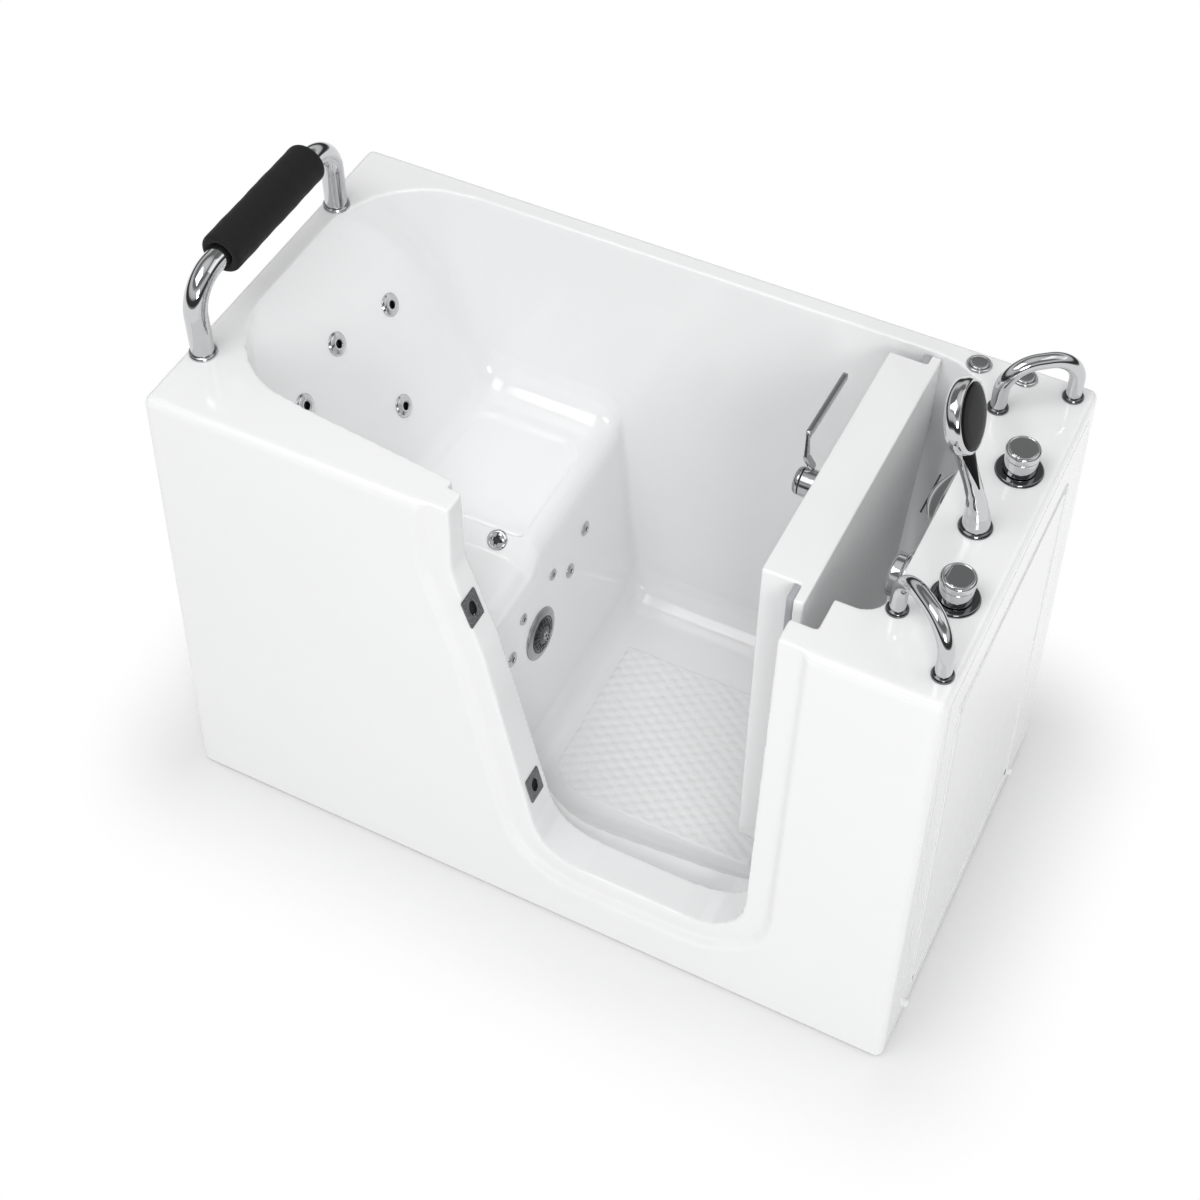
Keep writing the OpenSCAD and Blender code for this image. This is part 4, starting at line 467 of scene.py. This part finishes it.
def neck_rest():
    feet = [(NECK_X, y) for y in NECK_FEET_Y]
    bar = arch(*feet, NECK_RISE, NECK_BEND, NECK_R, 48)
    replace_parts(make("neck_tube", bar, CHROME, "tub"), "neck_bar")
    rings = foot_rings(feet, NECK_R, 64)
    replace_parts(make("neck_foot_rings", rings, CHROME, "tub"), "neck_rings")


def sleeve():
    """Foam sleeve with round ends and a slightly uneven skin."""
    half, r, edge, turns, n = 126.0, 35.0, 7.0, 8, 90
    start = [(19.6, -half + 5.0), (23.0, -half + 1.2), (26.0, -half)]
    prof = list(start)
    for k in range(turns + 1):
        a = math.pi / 2 * k / turns
        prof.append((r - edge + edge * math.sin(a), -half + edge - edge * math.cos(a)))
    for k in range(1, n):
        z = -half + edge + (2 * half - 2 * edge) * k / n
        prof.append((r + 0.25 * math.sin(z / 17.0) + 0.18 * math.sin(z / 6.3 + 1.0), z))
    for k in range(turns + 1):
        a = math.pi / 2 * (turns - k) / turns
        prof.append((r - edge + edge * math.sin(a), half - edge + edge * math.cos(a)))
    prof += [(x, -z) for x, z in reversed(start)]
    middle = (NECK_X, -7.5, TOP - FOOT_SUNK + NECK_RISE)
    o = make("neck_foam", moved(lathe(prof), place(middle, (0, 1, 0))), FOAM, "tub", smooth=60)
    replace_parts(o, "neck_sleeve")


def grab_rails():
    for name, feet, node in (("front_grab_rail", FRONT_FEET, "front_rail"),
                             ("back_grab_rail", BACK_FEET, "back_rail")):
        rail = arch(*feet, RAIL_RISE, RAIL_BEND, RAIL_R, 40)
        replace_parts(make(name, rail, CHROME, "tub"), node)
    rings = foot_rings(FRONT_FEET + BACK_FEET, RAIL_R, 56)
    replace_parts(make("rail_foot_rings", rings, DARK_CHROME, "tub"), "rail_rings")


neck_rest()
sleeve()
grab_rails()


# Taps
def tap_knob(name, y, body, node):
    m = at(TAP_X, y, TOP)
    prof = [(0, 5.4), (24.2, 5.4), (25.2, 6.4, 1.0), (25.6, 33.0, 0.6), (24.8, 33.8, 0.4), (24.8, 35.2, 0.4),
            (26.9, 36.2, 0.8), (27.0, 46.4, 2.6), (23.6, 49.9, 1.6), (22.2, 49.6, 0.5), (21.4, 48.7, 0.6),
            (0, 48.5)]
    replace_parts(make(name, moved(lathe(prof, 96), m), CHROME, body, smooth=28), node)
    top = lathe([(0, 49.25), (20.6, 49.1), (21.2, 48.6, 0.4), (21.2, 48.2)])
    make(name + "_cap", moved(top, m), CHROME, body, smooth=28)


def escutcheons():
    ring = lathe([(10.0, -0.2), (36.8, -0.2), (37.0, 1.6, 0.8), (35.2, 4.7, 1.2), (26.4, 4.9, 0.6),
                  (26.0, 3.6), (10.0, 3.4)], 96)
    both = joined(*[moved(ring, at(TAP_X, y, TOP)) for y in (COLD_Y, HOT_Y)])
    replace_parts(make("tap_escutcheons", both, DARK_CHROME, "tub", smooth=28), "tap_rings")


tap_knob("cold_tap_knob", COLD_Y, "cold_tap", "cold_knob")
tap_knob("hot_tap_knob", HOT_Y, "hot_tap", "hot_knob")
escutcheons()

# Hand shower
HEAD_Z = Vector((math.cos(HEAD_PITCH) * math.cos(HEAD_YAW), math.cos(HEAD_PITCH) * math.sin(HEAD_YAW),
                 math.sin(HEAD_PITCH)))
HEAD_M = place(SHOWER_HEAD, HEAD_Z, (0, 0, 1))
HANDLE_STEPS = 48


def eased(s):
    return s * s * (3 - 2 * s)


def handle_radius(t):
    """Half widths of the handle at a share of its length."""
    key = [(0.0, 21.0), (0.04, 20.6), (0.10, 19.0), (0.20, 16.6), (0.34, 13.8), (0.46, 13.0), (0.6, 13.4),
           (0.74, 14.8), (0.86, 17.2), (0.95, 20.0), (1.0, 21.5)]
    for (t0, r0), (t1, r1) in zip(key, key[1:]):
        if t <= t1:
            r = r0 + (r1 - r0) * eased((t - t0) / (t1 - t0))
            return (r, r * (1.0 if t < 0.6 else 1.0 - 0.18 * (t - 0.6) / 0.4))
    return (21.5, 17.6)


def handle_path():
    """Line of a stem that rises from the foot, leans in and meets the head."""
    end = SHOWER_HEAD - HEAD_Z * 13.0 - Vector((0, 0, 34.0))
    p0 = SHOWER_FOOT + Vector((0, 0, 6.3))
    p1, p2 = p0 + Vector((0, 0, 62)), end + Vector((6, 0, -48))
    path = []
    for k in range(HANDLE_STEPS + 1):
        s = k / HANDLE_STEPS
        path.append(p0 * (1 - s) ** 3 + p1 * 3 * s * (1 - s) ** 2 + p2 * 3 * s * s * (1 - s) + end * s ** 3)
    return path


def shower_inlay():
    """Black insert that lies in the back of the handle."""
    rows = []
    fr = frames_along(handle_path())
    first, last, across = 20, HANDLE_STEPS, 12
    facing = Vector((0.9, -0.45, 0.0))
    for i in range(first, last + 1):
        p, _, u, v = fr[i]
        s = (i - first) / (last - first)
        ra, rb = handle_radius(i / HANDLE_STEPS)
        mid = math.atan2(facing.dot(v) * ra, facing.dot(u) * rb)
        wide = 0.12 + 0.85 * math.sin(math.pi * min(s * 0.62, 0.55)) ** 1.2
        row = []
        for k in range(across + 1):
            q = -1 + 2 * k / across
            lift = 1.15 * (1 - q * q) ** 0.5 - 0.2
            th = mid + q * wide
            row.append(p + u * ((ra + lift) * math.cos(th)) + v * ((rb + lift) * math.sin(th)))
        rows.append(row)
    return loft(rows, caps=False, closed=False)


def hand_shower():
    foot = at(*SHOWER_FOOT)
    sock = lathe([(14.3, -0.3), (25.8, -0.3), (26.0, 2.4, 0.8), (23.8, 5.8, 1.2), (14.3, 5.9), (14.3, -30),
                  (0, -30)])
    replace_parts(make("shower_holder", moved(sock, foot), DARK_CHROME, "tub", smooth=28),
                "shower_socket")
    handle = tube(handle_path(), handle_radius, 48)
    plug = moved(lathe([(0, -38), (13.8, -38), (13.8, 7), (0, 7)], 40), foot)
    head = moved(lathe([(0, -26.0), (46.0, -26.0), (50.5, -25.0, 2.0), (55.0, -18.5, 4.0), (55.0, -6.0, 3.0),
                        (52.4, -1.2, 2.0), (49.6, 0.0, 0.8), (48.4, -0.8, 0.5), (48.2, -3.0), (0, -3.0)],
                       96), HEAD_M)
    o = make("shower_chrome", joined(handle, plug, head), CHROME, "hand_shower", smooth=32,
             merge=False)
    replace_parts(o, "shower_body")
    back = lathe([(48.0, -3.4), (48.0, -0.9, 0.8), (44.0, 1.6, 3.0), (30.0, 3.0, 6.0), (0, 3.6)], 96)
    o = make("shower_black_back", moved(back, HEAD_M), GLOSS_BLACK, "hand_shower", smooth=30)
    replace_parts(o, "shower_back")
    face = moved(lathe([(0, -26.6), (40.0, -26.5), (41.0, -25.6)]), HEAD_M)
    nozzle = lathe([(0, -28.0), (1.0, -27.9), (1.4, -26.4)], 10)
    nozzles = []
    for ring_r, count in ((10, 6), (20, 12), (30, 18), (37, 24)):
        nozzles += [moved(nozzle, HEAD_M @ at(*p)) for p in circle(ring_r, ring_r, 0, count)]
    make("shower_spray_face", joined(face, *nozzles), BLACK_SATIN, "hand_shower",
         merge=False)
    o = make("shower_grip_inlay", shower_inlay(), GLOSS_BLACK, "hand_shower", smooth=50)
    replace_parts(o, "shower_grip")


hand_shower()


# Spout, buttons, overflow and drain
def on_tap_wall(y, z):
    return place((BASIN_XR - TAP_WALL_LEAN * (TOP - z), y, z), (-1, 0, TAP_WALL_LEAN), (0, 0, 1))


def spout():
    """Flat hood that is deepest in the middle, with a black slit under its lip that is painted shade for the
    opening.
    """
    m = on_tap_wall(SPOUT_Y, SPOUT_Z)
    half, deep, thick, n = 62.0, 24.0, 5.6, 40
    rows = []
    for i in range(n + 1):
        s = -1 + 2 * i / n
        d = deep * (1 - s * s) ** 0.9 + 0.6
        t = thick * (1 - s * s) ** 0.35 + 0.4
        rows.append([(y, half * s, d / 2 + x) for x, y, _ in circle(d / 2, t, 0, 20)])
    o = make("waterfall_spout", moved(loft(rows), m), CHROME, "tub", smooth=40)
    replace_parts(o, "spout")
    # Black strip under the lip, painted shade for the slit's opening
    slit = moved(rounded_box(2.4, 84.0, 3.0, 0.8), m @ at(0, 0, 23.4))
    make("spout_slit_shade", slit, BLACK_SATIN, "tub")


def buttons():
    bezel = lathe([(15.3, -2.0), (15.3, 2.2, 0.6), (16.8, 3.0, 0.6), (19.2, 2.2, 1.2), (20.0, -0.2)], 80)
    cap = lathe([(15.0, -10.0), (15.0, 4.0, 1.0), (13.4, 5.0, 0.6), (12.2, 4.5, 0.8), (0, 4.1)])
    for body, x, y, node in BUTTONS:
        o = make(body + "_cap", moved(cap, at(x, y, TOP)), CHROME, body, smooth=26)
        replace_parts(o, node)
    bezels = joined(*[moved(bezel, at(x, y, TOP)) for _, x, y, _ in BUTTONS])
    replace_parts(make("button_bezels", bezels, CHROME, "tub", smooth=26), "button_rings")


def overflow():
    m = on_tap_wall(OVERFLOW_Y, OVERFLOW_Z)
    bezel = lathe([(8.2, 0.2), (41.6, 0.2), (42.0, 2.4, 0.8), (39.0, 7.2, 2.0), (34.6, 8.2, 0.8), (34.2, 6.8),
                   (8.2, 6.6)], 96)
    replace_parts(make("overflow_bezel", moved(bezel, m), CHROME, "tub", smooth=28), "overflow_ring")
    knob = lathe([(0, 8.4), (32.6, 8.4), (33.4, 9.4, 0.6), (33.6, 22.6, 2.6), (30.0, 26.0, 1.5),
                  (26.0, 25.0, 1.0), (0, 24.6)], 96)
    o = make("overflow_handle", moved(knob, m), CHROME, "overflow_turn", smooth=28)
    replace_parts(o, "overflow_knob")


def drain():
    m = at(DRAIN_X, DRAIN_Y, FLOOR_Z)
    flange = lathe([(20.8, -25.0), (21.0, 0.4, 0.8), (23.0, 1.4, 0.6), (30.6, 2.6, 1.2), (32.0, 0.2)], 80)
    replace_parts(make("drain_flange", moved(flange, m), CHROME, "tub", smooth=28), "drain_body")
    plug = lathe([(0, -26.0), (4.0, -26.0), (4.0, 3.3), (22.0, 3.3), (23.0, 4.2, 0.6), (21.4, 6.0, 1.0),
                  (0, 6.0)])
    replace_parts(make("drain_pop_up", moved(plug, m), CHROME, "plug", smooth=28), "drain_plug")


spout()
buttons()
overflow()
drain()


# Jets and suction
def on_backrest(y, z):
    top_z = TOP - 5
    return place((BASIN_XL + BACKREST_LEAN * (top_z - z), y, z), (1, 0, BACKREST_LEAN), (0, 0, 1))


def on_riser(y, z):
    return place((RISER_X + RISER_LEAN * (SEAT_Z - z), y, z), (1, 0, RISER_LEAN), (0, 0, 1))


def jets(name, places, node):
    """Chrome domes, each with a near-black eye and a nozzle in it; the eye's bore is painted shade for the
    hole's depth and the nozzle takes the same black.
    """
    metal, dark = [], []
    for m, r in places:
        dome = lathe([(r, -0.4), (r, r * 0.07, 0.6), (r * 0.86, r * 0.2, 1.2), (r * 0.5, r * 0.3, 1.4),
                      (r * 0.36, r * 0.27, 0.6), (r * 0.32, r * 0.1, 0.6), (r * 0.3, -r * 0.5)], 56)
        # Near-black bore, painted shade for the depth of the jet's hole
        bore_shade = lathe([(r * 0.31, -r * 0.1), (r * 0.2, -r * 0.35), (0, -r * 0.4)], 32)
        nozzle = lathe([(r * 0.17, -r * 0.4), (r * 0.15, -r * 0.02, 0.5), (r * 0.09, 0.0, 0.3),
                        (r * 0.07, -r * 0.3)], 28)
        metal.append(moved(dome, m))
        dark += [moved(bore_shade, m), moved(nozzle, m)]
    o = make(name, joined(*metal), CHROME, "tub", smooth=30, merge=False)
    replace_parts(o, node)
    make(name + "_nozzles_and_shade", joined(*dark), BLACK_SATIN, "tub", smooth=30, merge=False)


def star():
    """Jet with a four-pointed opening, on the slope of the seat's step."""
    m = place((-218.0, -30.0, 500.0), (0, -0.6, 0.8), (1, 0, 0))
    r, n = 18.6, 72
    ring = lathe([(r, -0.4), (r, 1.6, 0.6), (r * 0.86, 3.6, 1.0), (r * 0.72, 3.9, 0.8), (r * 0.66, 2.4, 0.5),
                  (r * 0.64, -1.0)], 64)

    def outline(scale, z):
        pts = []
        for k in range(n):
            a = 2 * math.pi * k / n
            q = r * scale * (0.46 + 0.14 * math.cos(4 * a))
            pts.append((q * math.cos(a), q * math.sin(a), z))
        return pts

    plate = loft([circle(r * 0.66, r * 0.66, 2.2, n), outline(1.0, 2.6), outline(0.96, 1.6),
                  outline(0.94, -6.0)], caps=False)
    o = make("star_jet_face", joined(moved(ring, m), moved(plate, m)), CHROME, "tub", smooth=30,
             merge=False)
    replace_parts(o, "star_jet")
    # Near-black disc behind the four-pointed opening, painted shade for its depth
    eye = lathe([(r * 0.62, -3.0), (0, -3.4)], 40)
    make("star_jet_eye_shade", moved(eye, m), BLACK_SATIN, "tub")


def suction():
    """Ring with a slotted dome, held by a cross-headed screw whose cross is drawn in black as painted shade.
    """
    m = on_riser(-HALF_W * 0.14, 312)
    r, slot_count, screw_z = 50.0, 18, 12.6
    ring = lathe([(r, -0.4), (r, 1.8, 1.0), (r * 0.94, 3.6, 1.0), (r * 0.74, 6.2, 1.2), (r * 0.70, 5.6, 0.5),
                  (r * 0.69, 2.0)], 112)
    o = make("suction_ring", moved(ring, m), LATCH, "tub", smooth=30)
    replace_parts(o, "suction_cover")
    dome = lathe([(r * 0.69, 2.0), (r * 0.685, 5.0, 0.8), (r * 0.5, 8.6, 3.0), (r * 0.2, 10.6, 3.0),
                  (0, 11.0)], 96)
    slot = moved(rounded_box(13.0, 2.6, 1.8, 0.7),
                 at(r * 0.47, 0, 8.7) @ Matrix.Rotation(math.radians(14), 4, "Y"))
    slots = [moved(slot, m @ Matrix.Rotation(2 * math.pi * k / slot_count, 4, "Z"))
             for k in range(slot_count)]
    make("suction_dome", joined(moved(dome, m), *slots), BLACK, "tub", smooth=30, merge=False)
    screw = lathe([(0, screw_z), (1.0, screw_z), (1.2, 12.0), (5.4, 12.8, 0.6), (7.0, 12.0, 0.6),
                   (7.2, 10.2)], 48)
    make("suction_screw", moved(screw, m), SATIN, "tub", smooth=30)
    # Raised black bars of painted shade stand for the screw head's cross recess
    cross = joined(rounded_box(7.4, 1.5, 1.2, 0.3), rounded_box(1.5, 7.4, 1.2, 0.3))
    make("suction_screw_cross_shade", moved(cross, m @ at(0, 0, screw_z)), BLACK_SATIN, "tub",
         merge=False)


BACKREST_JETS = ((0.49, 754), (0.06, 781), (-0.31, 755), (0.23, 618))
RISER_JETS = ((0.42, 393, 14.2), (0.06, 396, 11.0), (-0.26, 393, 11.0), (0.22, 351, 14.2), (-0.42, 346, 14.2))
jets("backrest_jets", [(on_backrest(HALF_W * share, z), 21.0) for share, z in BACKREST_JETS], "back_jets")
jets("riser_jet_faces", [(on_riser(HALF_W * share, z), r) for share, z, r in RISER_JETS], "riser_jets")
star()
suction()


# Door latch, in closed-pose door coordinates
def at_hub(part):
    """From the hub's frame, whose z points out of the door and whose y points up."""
    return opened(moved(part, place((LATCH_X, FACE_Y, LATCH_Z), (0, -1, 0), (1, 0, 0))))


def flat_bar(path, width, thick):
    """Bar of oblong section along a path in the hub's frame, with its flat side facing out."""
    rows = []
    for i, (p, t, _, _) in enumerate(frames_along(path)):
        out = Vector((0, 0, 1))
        out = (out - t * out.dot(t)).normalized()
        side = t.cross(out)
        k = (0.55, 0.86, 1.0)[min(i, len(path) - 1 - i, 2)]
        row = []
        for c, s, _ in circle(1.0, 1.0, 0, 28):
            row.append(p + side * (width / 2 * k * math.copysign(abs(c) ** 0.45, c))
                       + out * (thick / 2 * k * math.copysign(abs(s) ** 0.45, s)))
        rows.append(row)
    return loft(rows)


def latch():
    base = lathe([(6.2, -0.2), (23.5, -0.2), (23.5, 13.4, 0.8), (23.5, 14.9), (6.2, 14.9)], 80)
    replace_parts(make("latch_base", at_hub(base), LATCH, "door", smooth=28), "latch_housing")
    collar = lathe([(6.3, 15.1), (23.3, 15.1), (23.3, 28.9, 0.5), (22.4, 29.6, 0.3), (0, 29.7)], 80)
    elbow, tip = Vector((-31.0, 68.0, 39.0)), Vector((-181.0, 61.0, 39.0))
    turns = [(-14.0, 6.0, 22.0), (-15.0, 22.0, 22.0), (-17.0, 36.0, 33.0), elbow]
    bends = rounded_path(turns, [7.0, 7.0], 12)
    grip_shares = (-0.01, 0.0, 0.012, 0.03, 0.2, 0.4, 0.6, 0.8, 0.95, 0.975, 0.99, 1.0)
    grip = flat_bar([elbow.lerp(tip, s) for s in grip_shares], 13.5, 9.5)
    o = make("latch_handle", at_hub(joined(collar, flat_bar(bends, 14.0, 9.0), grip)), LATCH, "lever",
             smooth=34, merge=False)
    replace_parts(o, "latch_lever")
    dome = lathe([(20.4, 31.2), (22.4, 31.4, 0.4), (22.6, 34.4, 1.5), (20.4, 39.4, 3.0), (13.0, 42.0, 4.0),
                  (0, 42.6)], 80)
    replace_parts(make("latch_dome", at_hub(dome), LATCH, "lever", smooth=30), "latch_cap")
    # Near-black ring in the groove between collar and dome, painted shade
    groove_shade = lathe([(19.0, 29.5), (21.7, 29.5), (21.7, 31.4), (19.0, 31.4)])
    make("latch_groove_shade", at_hub(groove_shade), SHADE_BLACK, "lever")


latch()


# Striker plates
def striker(name, z, node):
    """Plate on the doorway's left side, with an oval hole and a near-black pocket behind it that is painted
    shade for the hole's depth.
    """
    (z0, x0), (z1, x1) = [p for p in zip(REVEAL, REVEAL[1:]) if p[0][0] <= z <= p[1][0]][0]
    x = x0 + (x1 - x0) * (z - z0) / (z1 - z0)
    slope = math.atan2(x0 - x1, z1 - z0)
    c, s = math.cos(slope), math.sin(slope)
    m = place((x, REVEAL_Y, z), (c, 0, s), (s, 0, -c))
    n = 64

    def oblong(hx, hy, level):
        pts = []
        for u, v, _ in circle(1.0, 1.0, 0, n):
            q = 1 / max(abs(u) / hx, abs(v) / hy)
            pts.append((u * q, v * q, level))
        return pts

    plate = loft([oblong(27.3, 19.8, 0.0), oblong(27.5, 20.0, 1.6), oblong(26.9, 19.4, 2.5),
                  circle(15.2, 9.2, 2.5, n), circle(14.4, 8.4, 1.9, n), circle(14.2, 8.2, -6.0, n)],
                 caps=False)
    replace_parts(make(name, moved(plate, m), PLATE, "tub", smooth=30), node)
    # Near-black pocket in the hole, painted shade for its depth
    pocket = loft([circle(14.3, 8.3, -1.2, n), circle(6.0, 3.0, -2.4, n)])
    make(name + "_shade_pocket", moved(pocket, m), SHADE_BLACK, "tub")


striker("upper_striker_plate", UPPER_STRIKER_Z, "striker_upper")
striker("lower_striker_plate", LOWER_STRIKER_Z, "striker_lower")

# Right end: access panel and caps
END = at(HALF_L + END_FLARE, 0, 0) @ Matrix.Rotation(-math.atan(END_FLARE / TOP), 4, "Y")


def panel():
    """Slab with round corners and a fine raised border."""
    y0, y1, z0, z1, r = -251.6, 231.6, 50.4, 821.6, 3.0

    def ring(inset, x):
        a0, a1, b0, b1 = y0 + inset + r, y1 - inset - r, z0 + inset + r, z1 - inset - r
        pts = []
        for cy, cz, start in ((a1, b1, 0), (a0, b1, 90), (a0, b0, 180), (a1, b0, 270)):
            for k in range(7):
                q = math.radians(start + 90 * k / 6)
                pts.append((x, cy + r * math.cos(q), cz + r * math.sin(q)))
        return pts

    border = ((1.0, -8.0), (0, -7.6), (0, 0.6), (0.5, 1.7), (1.2, 2.0), (2.6, 2.0), (3.4, 1.7), (4.0, 0.9),
              (4.6, 0.3), (5.4, 0.2), (30.0, 0.2))
    return loft([ring(inset, x) for inset, x in border])


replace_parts(make("side_access_panel", moved(panel(), END), GELCOAT, "panel", smooth=40),
            "access_panel")
foot_cap = lathe([(7.0, -1.0), (7.0, 5.2, 1.2), (5.4, 7.6, 1.6), (0, 7.8)], 40)
caps = joined(*[moved(foot_cap, END @ place((0, y, z), (1, 0, 0))) for y, z in CAPS])
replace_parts(make("foot_caps", caps, GELCOAT, "tub"), "skirt_caps")

# What stays as the CAD made it
cad_finish(STEEL, "steel_frame", "levelling_feet", "deck_nuts", "door_hinge_leaves", "jamb_hinge_leaves",
           "hinge_pins", "latch_spindle", "drive_bar", "bolt_upper", "bolt_lower", "panel_screws")
cad_finish(PIPE, "pipework", "jet_bodies", "suction_body", "overflow_pipe", "drain_trap")
cad_finish(PUMP, "pump", "air_blower")
cad_finish(BRASS, "tap_valves")
cad_finish(BLACK_SATIN, "bolt_guides")
cad_finish(GELCOAT, "end_skirt")
bevel = nodes["end_skirt"].modifiers.new("soft_edges", "BEVEL")
bevel.width = 1.0 * MM
bevel.segments = 2
bevel.limit_method = "ANGLE"
bevel.angle_limit = math.radians(40)


# Stage, light and camera, in metres
def stage_floor():
    """Pale floor that keeps the tub's soft shadow and fades to white away from it."""
    s, near_x, near_y, fade_from, fade_to = 9.0, 0.62, 0.32, 0.02, 0.33
    me = bpy.data.meshes.new("stage_floor")
    me.from_pydata([(-s, -s, 0), (s, -s, 0), (s, s, 0), (-s, s, 0)], [], [(0, 1, 2, 3)])
    m, t, b, links = new_material("stage_floor")
    b.inputs["Base Color"].default_value = (0.9, 0.9, 0.9, 1)
    b.inputs["Roughness"].default_value = 0.7
    b.inputs["Specular IOR Level"].default_value = 0.1
    bp = t.nodes.new("ShaderNodeBump")
    bp.inputs["Strength"].default_value = 0.02
    bp.inputs["Distance"].default_value = 1.0 * MM
    links.new(noise_node(t, t.nodes.new("ShaderNodeTexCoord").outputs["Object"], 40.0), bp.inputs["Height"])
    links.new(bp.outputs["Normal"], b.inputs["Normal"])
    sep = t.nodes.new("ShaderNodeSeparateXYZ")
    links.new(t.nodes.new("ShaderNodeNewGeometry").outputs["Position"], sep.inputs["Vector"])

    def math_node(op, *values):
        n = t.nodes.new("ShaderNodeMath")
        n.operation = op
        for k, v in enumerate(values):
            if isinstance(v, (int, float)):
                n.inputs[k].default_value = v
            else:
                links.new(v, n.inputs[k])
        return n.outputs[0]

    def past(axis, near):
        reach = math_node("ABSOLUTE", sep.outputs[axis])
        return math_node("MAXIMUM", math_node("SUBTRACT", reach, near), 0.0)

    dx, dy = past("X", near_x), past("Y", near_y)
    fade = t.nodes.new("ShaderNodeMapRange")
    fade.interpolation_type = "SMOOTHSTEP"
    fade.inputs["From Min"].default_value = fade_from
    fade.inputs["From Max"].default_value = fade_to
    away = math_node("SQRT", math_node("ADD", math_node("MULTIPLY", dx, dx), math_node("MULTIPLY", dy, dy)))
    links.new(away, fade.inputs["Value"])
    rays = t.nodes.new("ShaderNodeLightPath").outputs
    seen = math_node("ADD", rays["Is Camera Ray"],
                     math_node("ADD", rays["Is Glossy Ray"], rays["Is Transmission Ray"]))
    glow = t.nodes.new("ShaderNodeEmission")
    glow.inputs["Color"].default_value = (1, 1, 1, 1)
    glow.inputs["Strength"].default_value = 1.0
    mix = t.nodes.new("ShaderNodeMixShader")
    factor = math_node("MULTIPLY", math_node("MINIMUM", seen, 1.0), fade.outputs["Result"])
    links.new(factor, mix.inputs["Fac"])
    links.new(b.outputs["BSDF"], mix.inputs[1])
    links.new(glow.outputs["Emission"], mix.inputs[2])
    links.new(mix.outputs["Shader"], t.nodes["Material Output"].inputs["Surface"])
    me.materials.append(m)
    o = bpy.data.objects.new("stage_floor", me)
    bpy.context.scene.collection.objects.link(o)


def studio_world():
    """White for the camera, banded softboxes for reflections, and even light for the rest."""
    world = bpy.data.worlds.new("studio")
    bpy.context.scene.world = world
    world.use_nodes = True
    t = world.node_tree
    t.nodes.clear()

    def background(strength):
        n = t.nodes.new("ShaderNodeBackground")
        n.inputs["Color"].default_value = (1.0, 1.0, 1.0, 1)
        n.inputs["Strength"].default_value = strength
        return n

    def mixed(fac, a, b):
        n = t.nodes.new("ShaderNodeMixShader")
        t.links.new(fac, n.inputs["Fac"])
        t.links.new(a, n.inputs[1])
        t.links.new(b, n.inputs[2])
        return n.outputs["Shader"]

    even, boxes, clear = background(0.58), background(0.9), background(1.0)
    sep = t.nodes.new("ShaderNodeSeparateXYZ")
    t.links.new(t.nodes.new("ShaderNodeTexCoord").outputs["Generated"], sep.inputs["Vector"])
    height = t.nodes.new("ShaderNodeMath")
    height.operation = "MULTIPLY_ADD"
    height.inputs[1].default_value = 0.5
    height.inputs[2].default_value = 0.5
    t.links.new(sep.outputs["Z"], height.inputs[0])
    ramp = t.nodes.new("ShaderNodeValToRGB")
    first, last = ramp.color_ramp.elements
    first.position, last.position = 0.0, 1.0
    first.color, last.color = (0.5, 0.5, 0.5, 1), (0.92, 0.92, 0.92, 1)
    for pos, v in ((0.44, 0.5), (0.50, 0.05), (0.60, 0.06), (0.66, 0.7), (0.76, 0.85), (0.82, 0.26),
                   (0.91, 0.2), (0.96, 0.8)):
        ramp.color_ramp.elements.new(pos).color = (v, v, v, 1)
    t.links.new(height.outputs[0], ramp.inputs["Fac"])
    t.links.new(ramp.outputs["Color"], boxes.inputs["Color"])
    rays = t.nodes.new("ShaderNodeLightPath").outputs
    lit = mixed(rays["Is Glossy Ray"], even.outputs["Background"], boxes.outputs["Background"])
    seen = mixed(rays["Is Camera Ray"], lit, clear.outputs["Background"])
    out = t.nodes.new("ShaderNodeOutputWorld")
    t.links.new(seen, out.inputs["Surface"])


def lamp(name, origin, target, size_x, size_y, power):
    li = bpy.data.lights.new(name, "AREA")
    li.energy = power
    li.shape = "RECTANGLE"
    li.size = size_x
    li.size_y = size_y
    o = bpy.data.objects.new(name, li)
    bpy.context.scene.collection.objects.link(o)
    o.location = origin
    o.rotation_euler = (Vector(target) - Vector(origin)).to_track_quat("-Z", "Y").to_euler()


def photo_camera():
    """The camera that was fitted to the photograph's tub corners."""
    photo_px, focal_px, shift_px, sensor_mm = 1200.0, 2080.7, -100.0, 36.0
    az, el = math.radians(26.775), math.radians(48.311)
    cam = bpy.data.cameras.new("camera")
    cam.sensor_width = sensor_mm
    cam.lens = focal_px * sensor_mm / photo_px
    cam.shift_y = shift_px / photo_px
    cam.clip_end = 50.0
    o = bpy.data.objects.new("camera", cam)
    bpy.context.scene.collection.objects.link(o)
    look = Vector((-math.sin(az) * math.cos(el), math.cos(az) * math.cos(el), -math.sin(el)))
    o.location = (0.9792, -2.0136, 3.1966)
    o.rotation_euler = look.to_track_quat("-Z", "Y").to_euler()
    bpy.context.scene.camera = o


stage_floor()
studio_world()
lamp("key", (-0.7, -1.3, 3.6), (0, 0, 0.5), 2.0, 1.6, 30.0)
lamp("fill", (2.2, 1.0, 3.2), (0.2, 0, 0.6), 2.0, 2.0, 10.0)
lamp("front", (2.6, -3.8, 2.8), (0.1, 0, 0.5), 1.4, 1.4, 56.0)
photo_camera()
bpy.context.scene.view_settings.view_transform = "Standard"
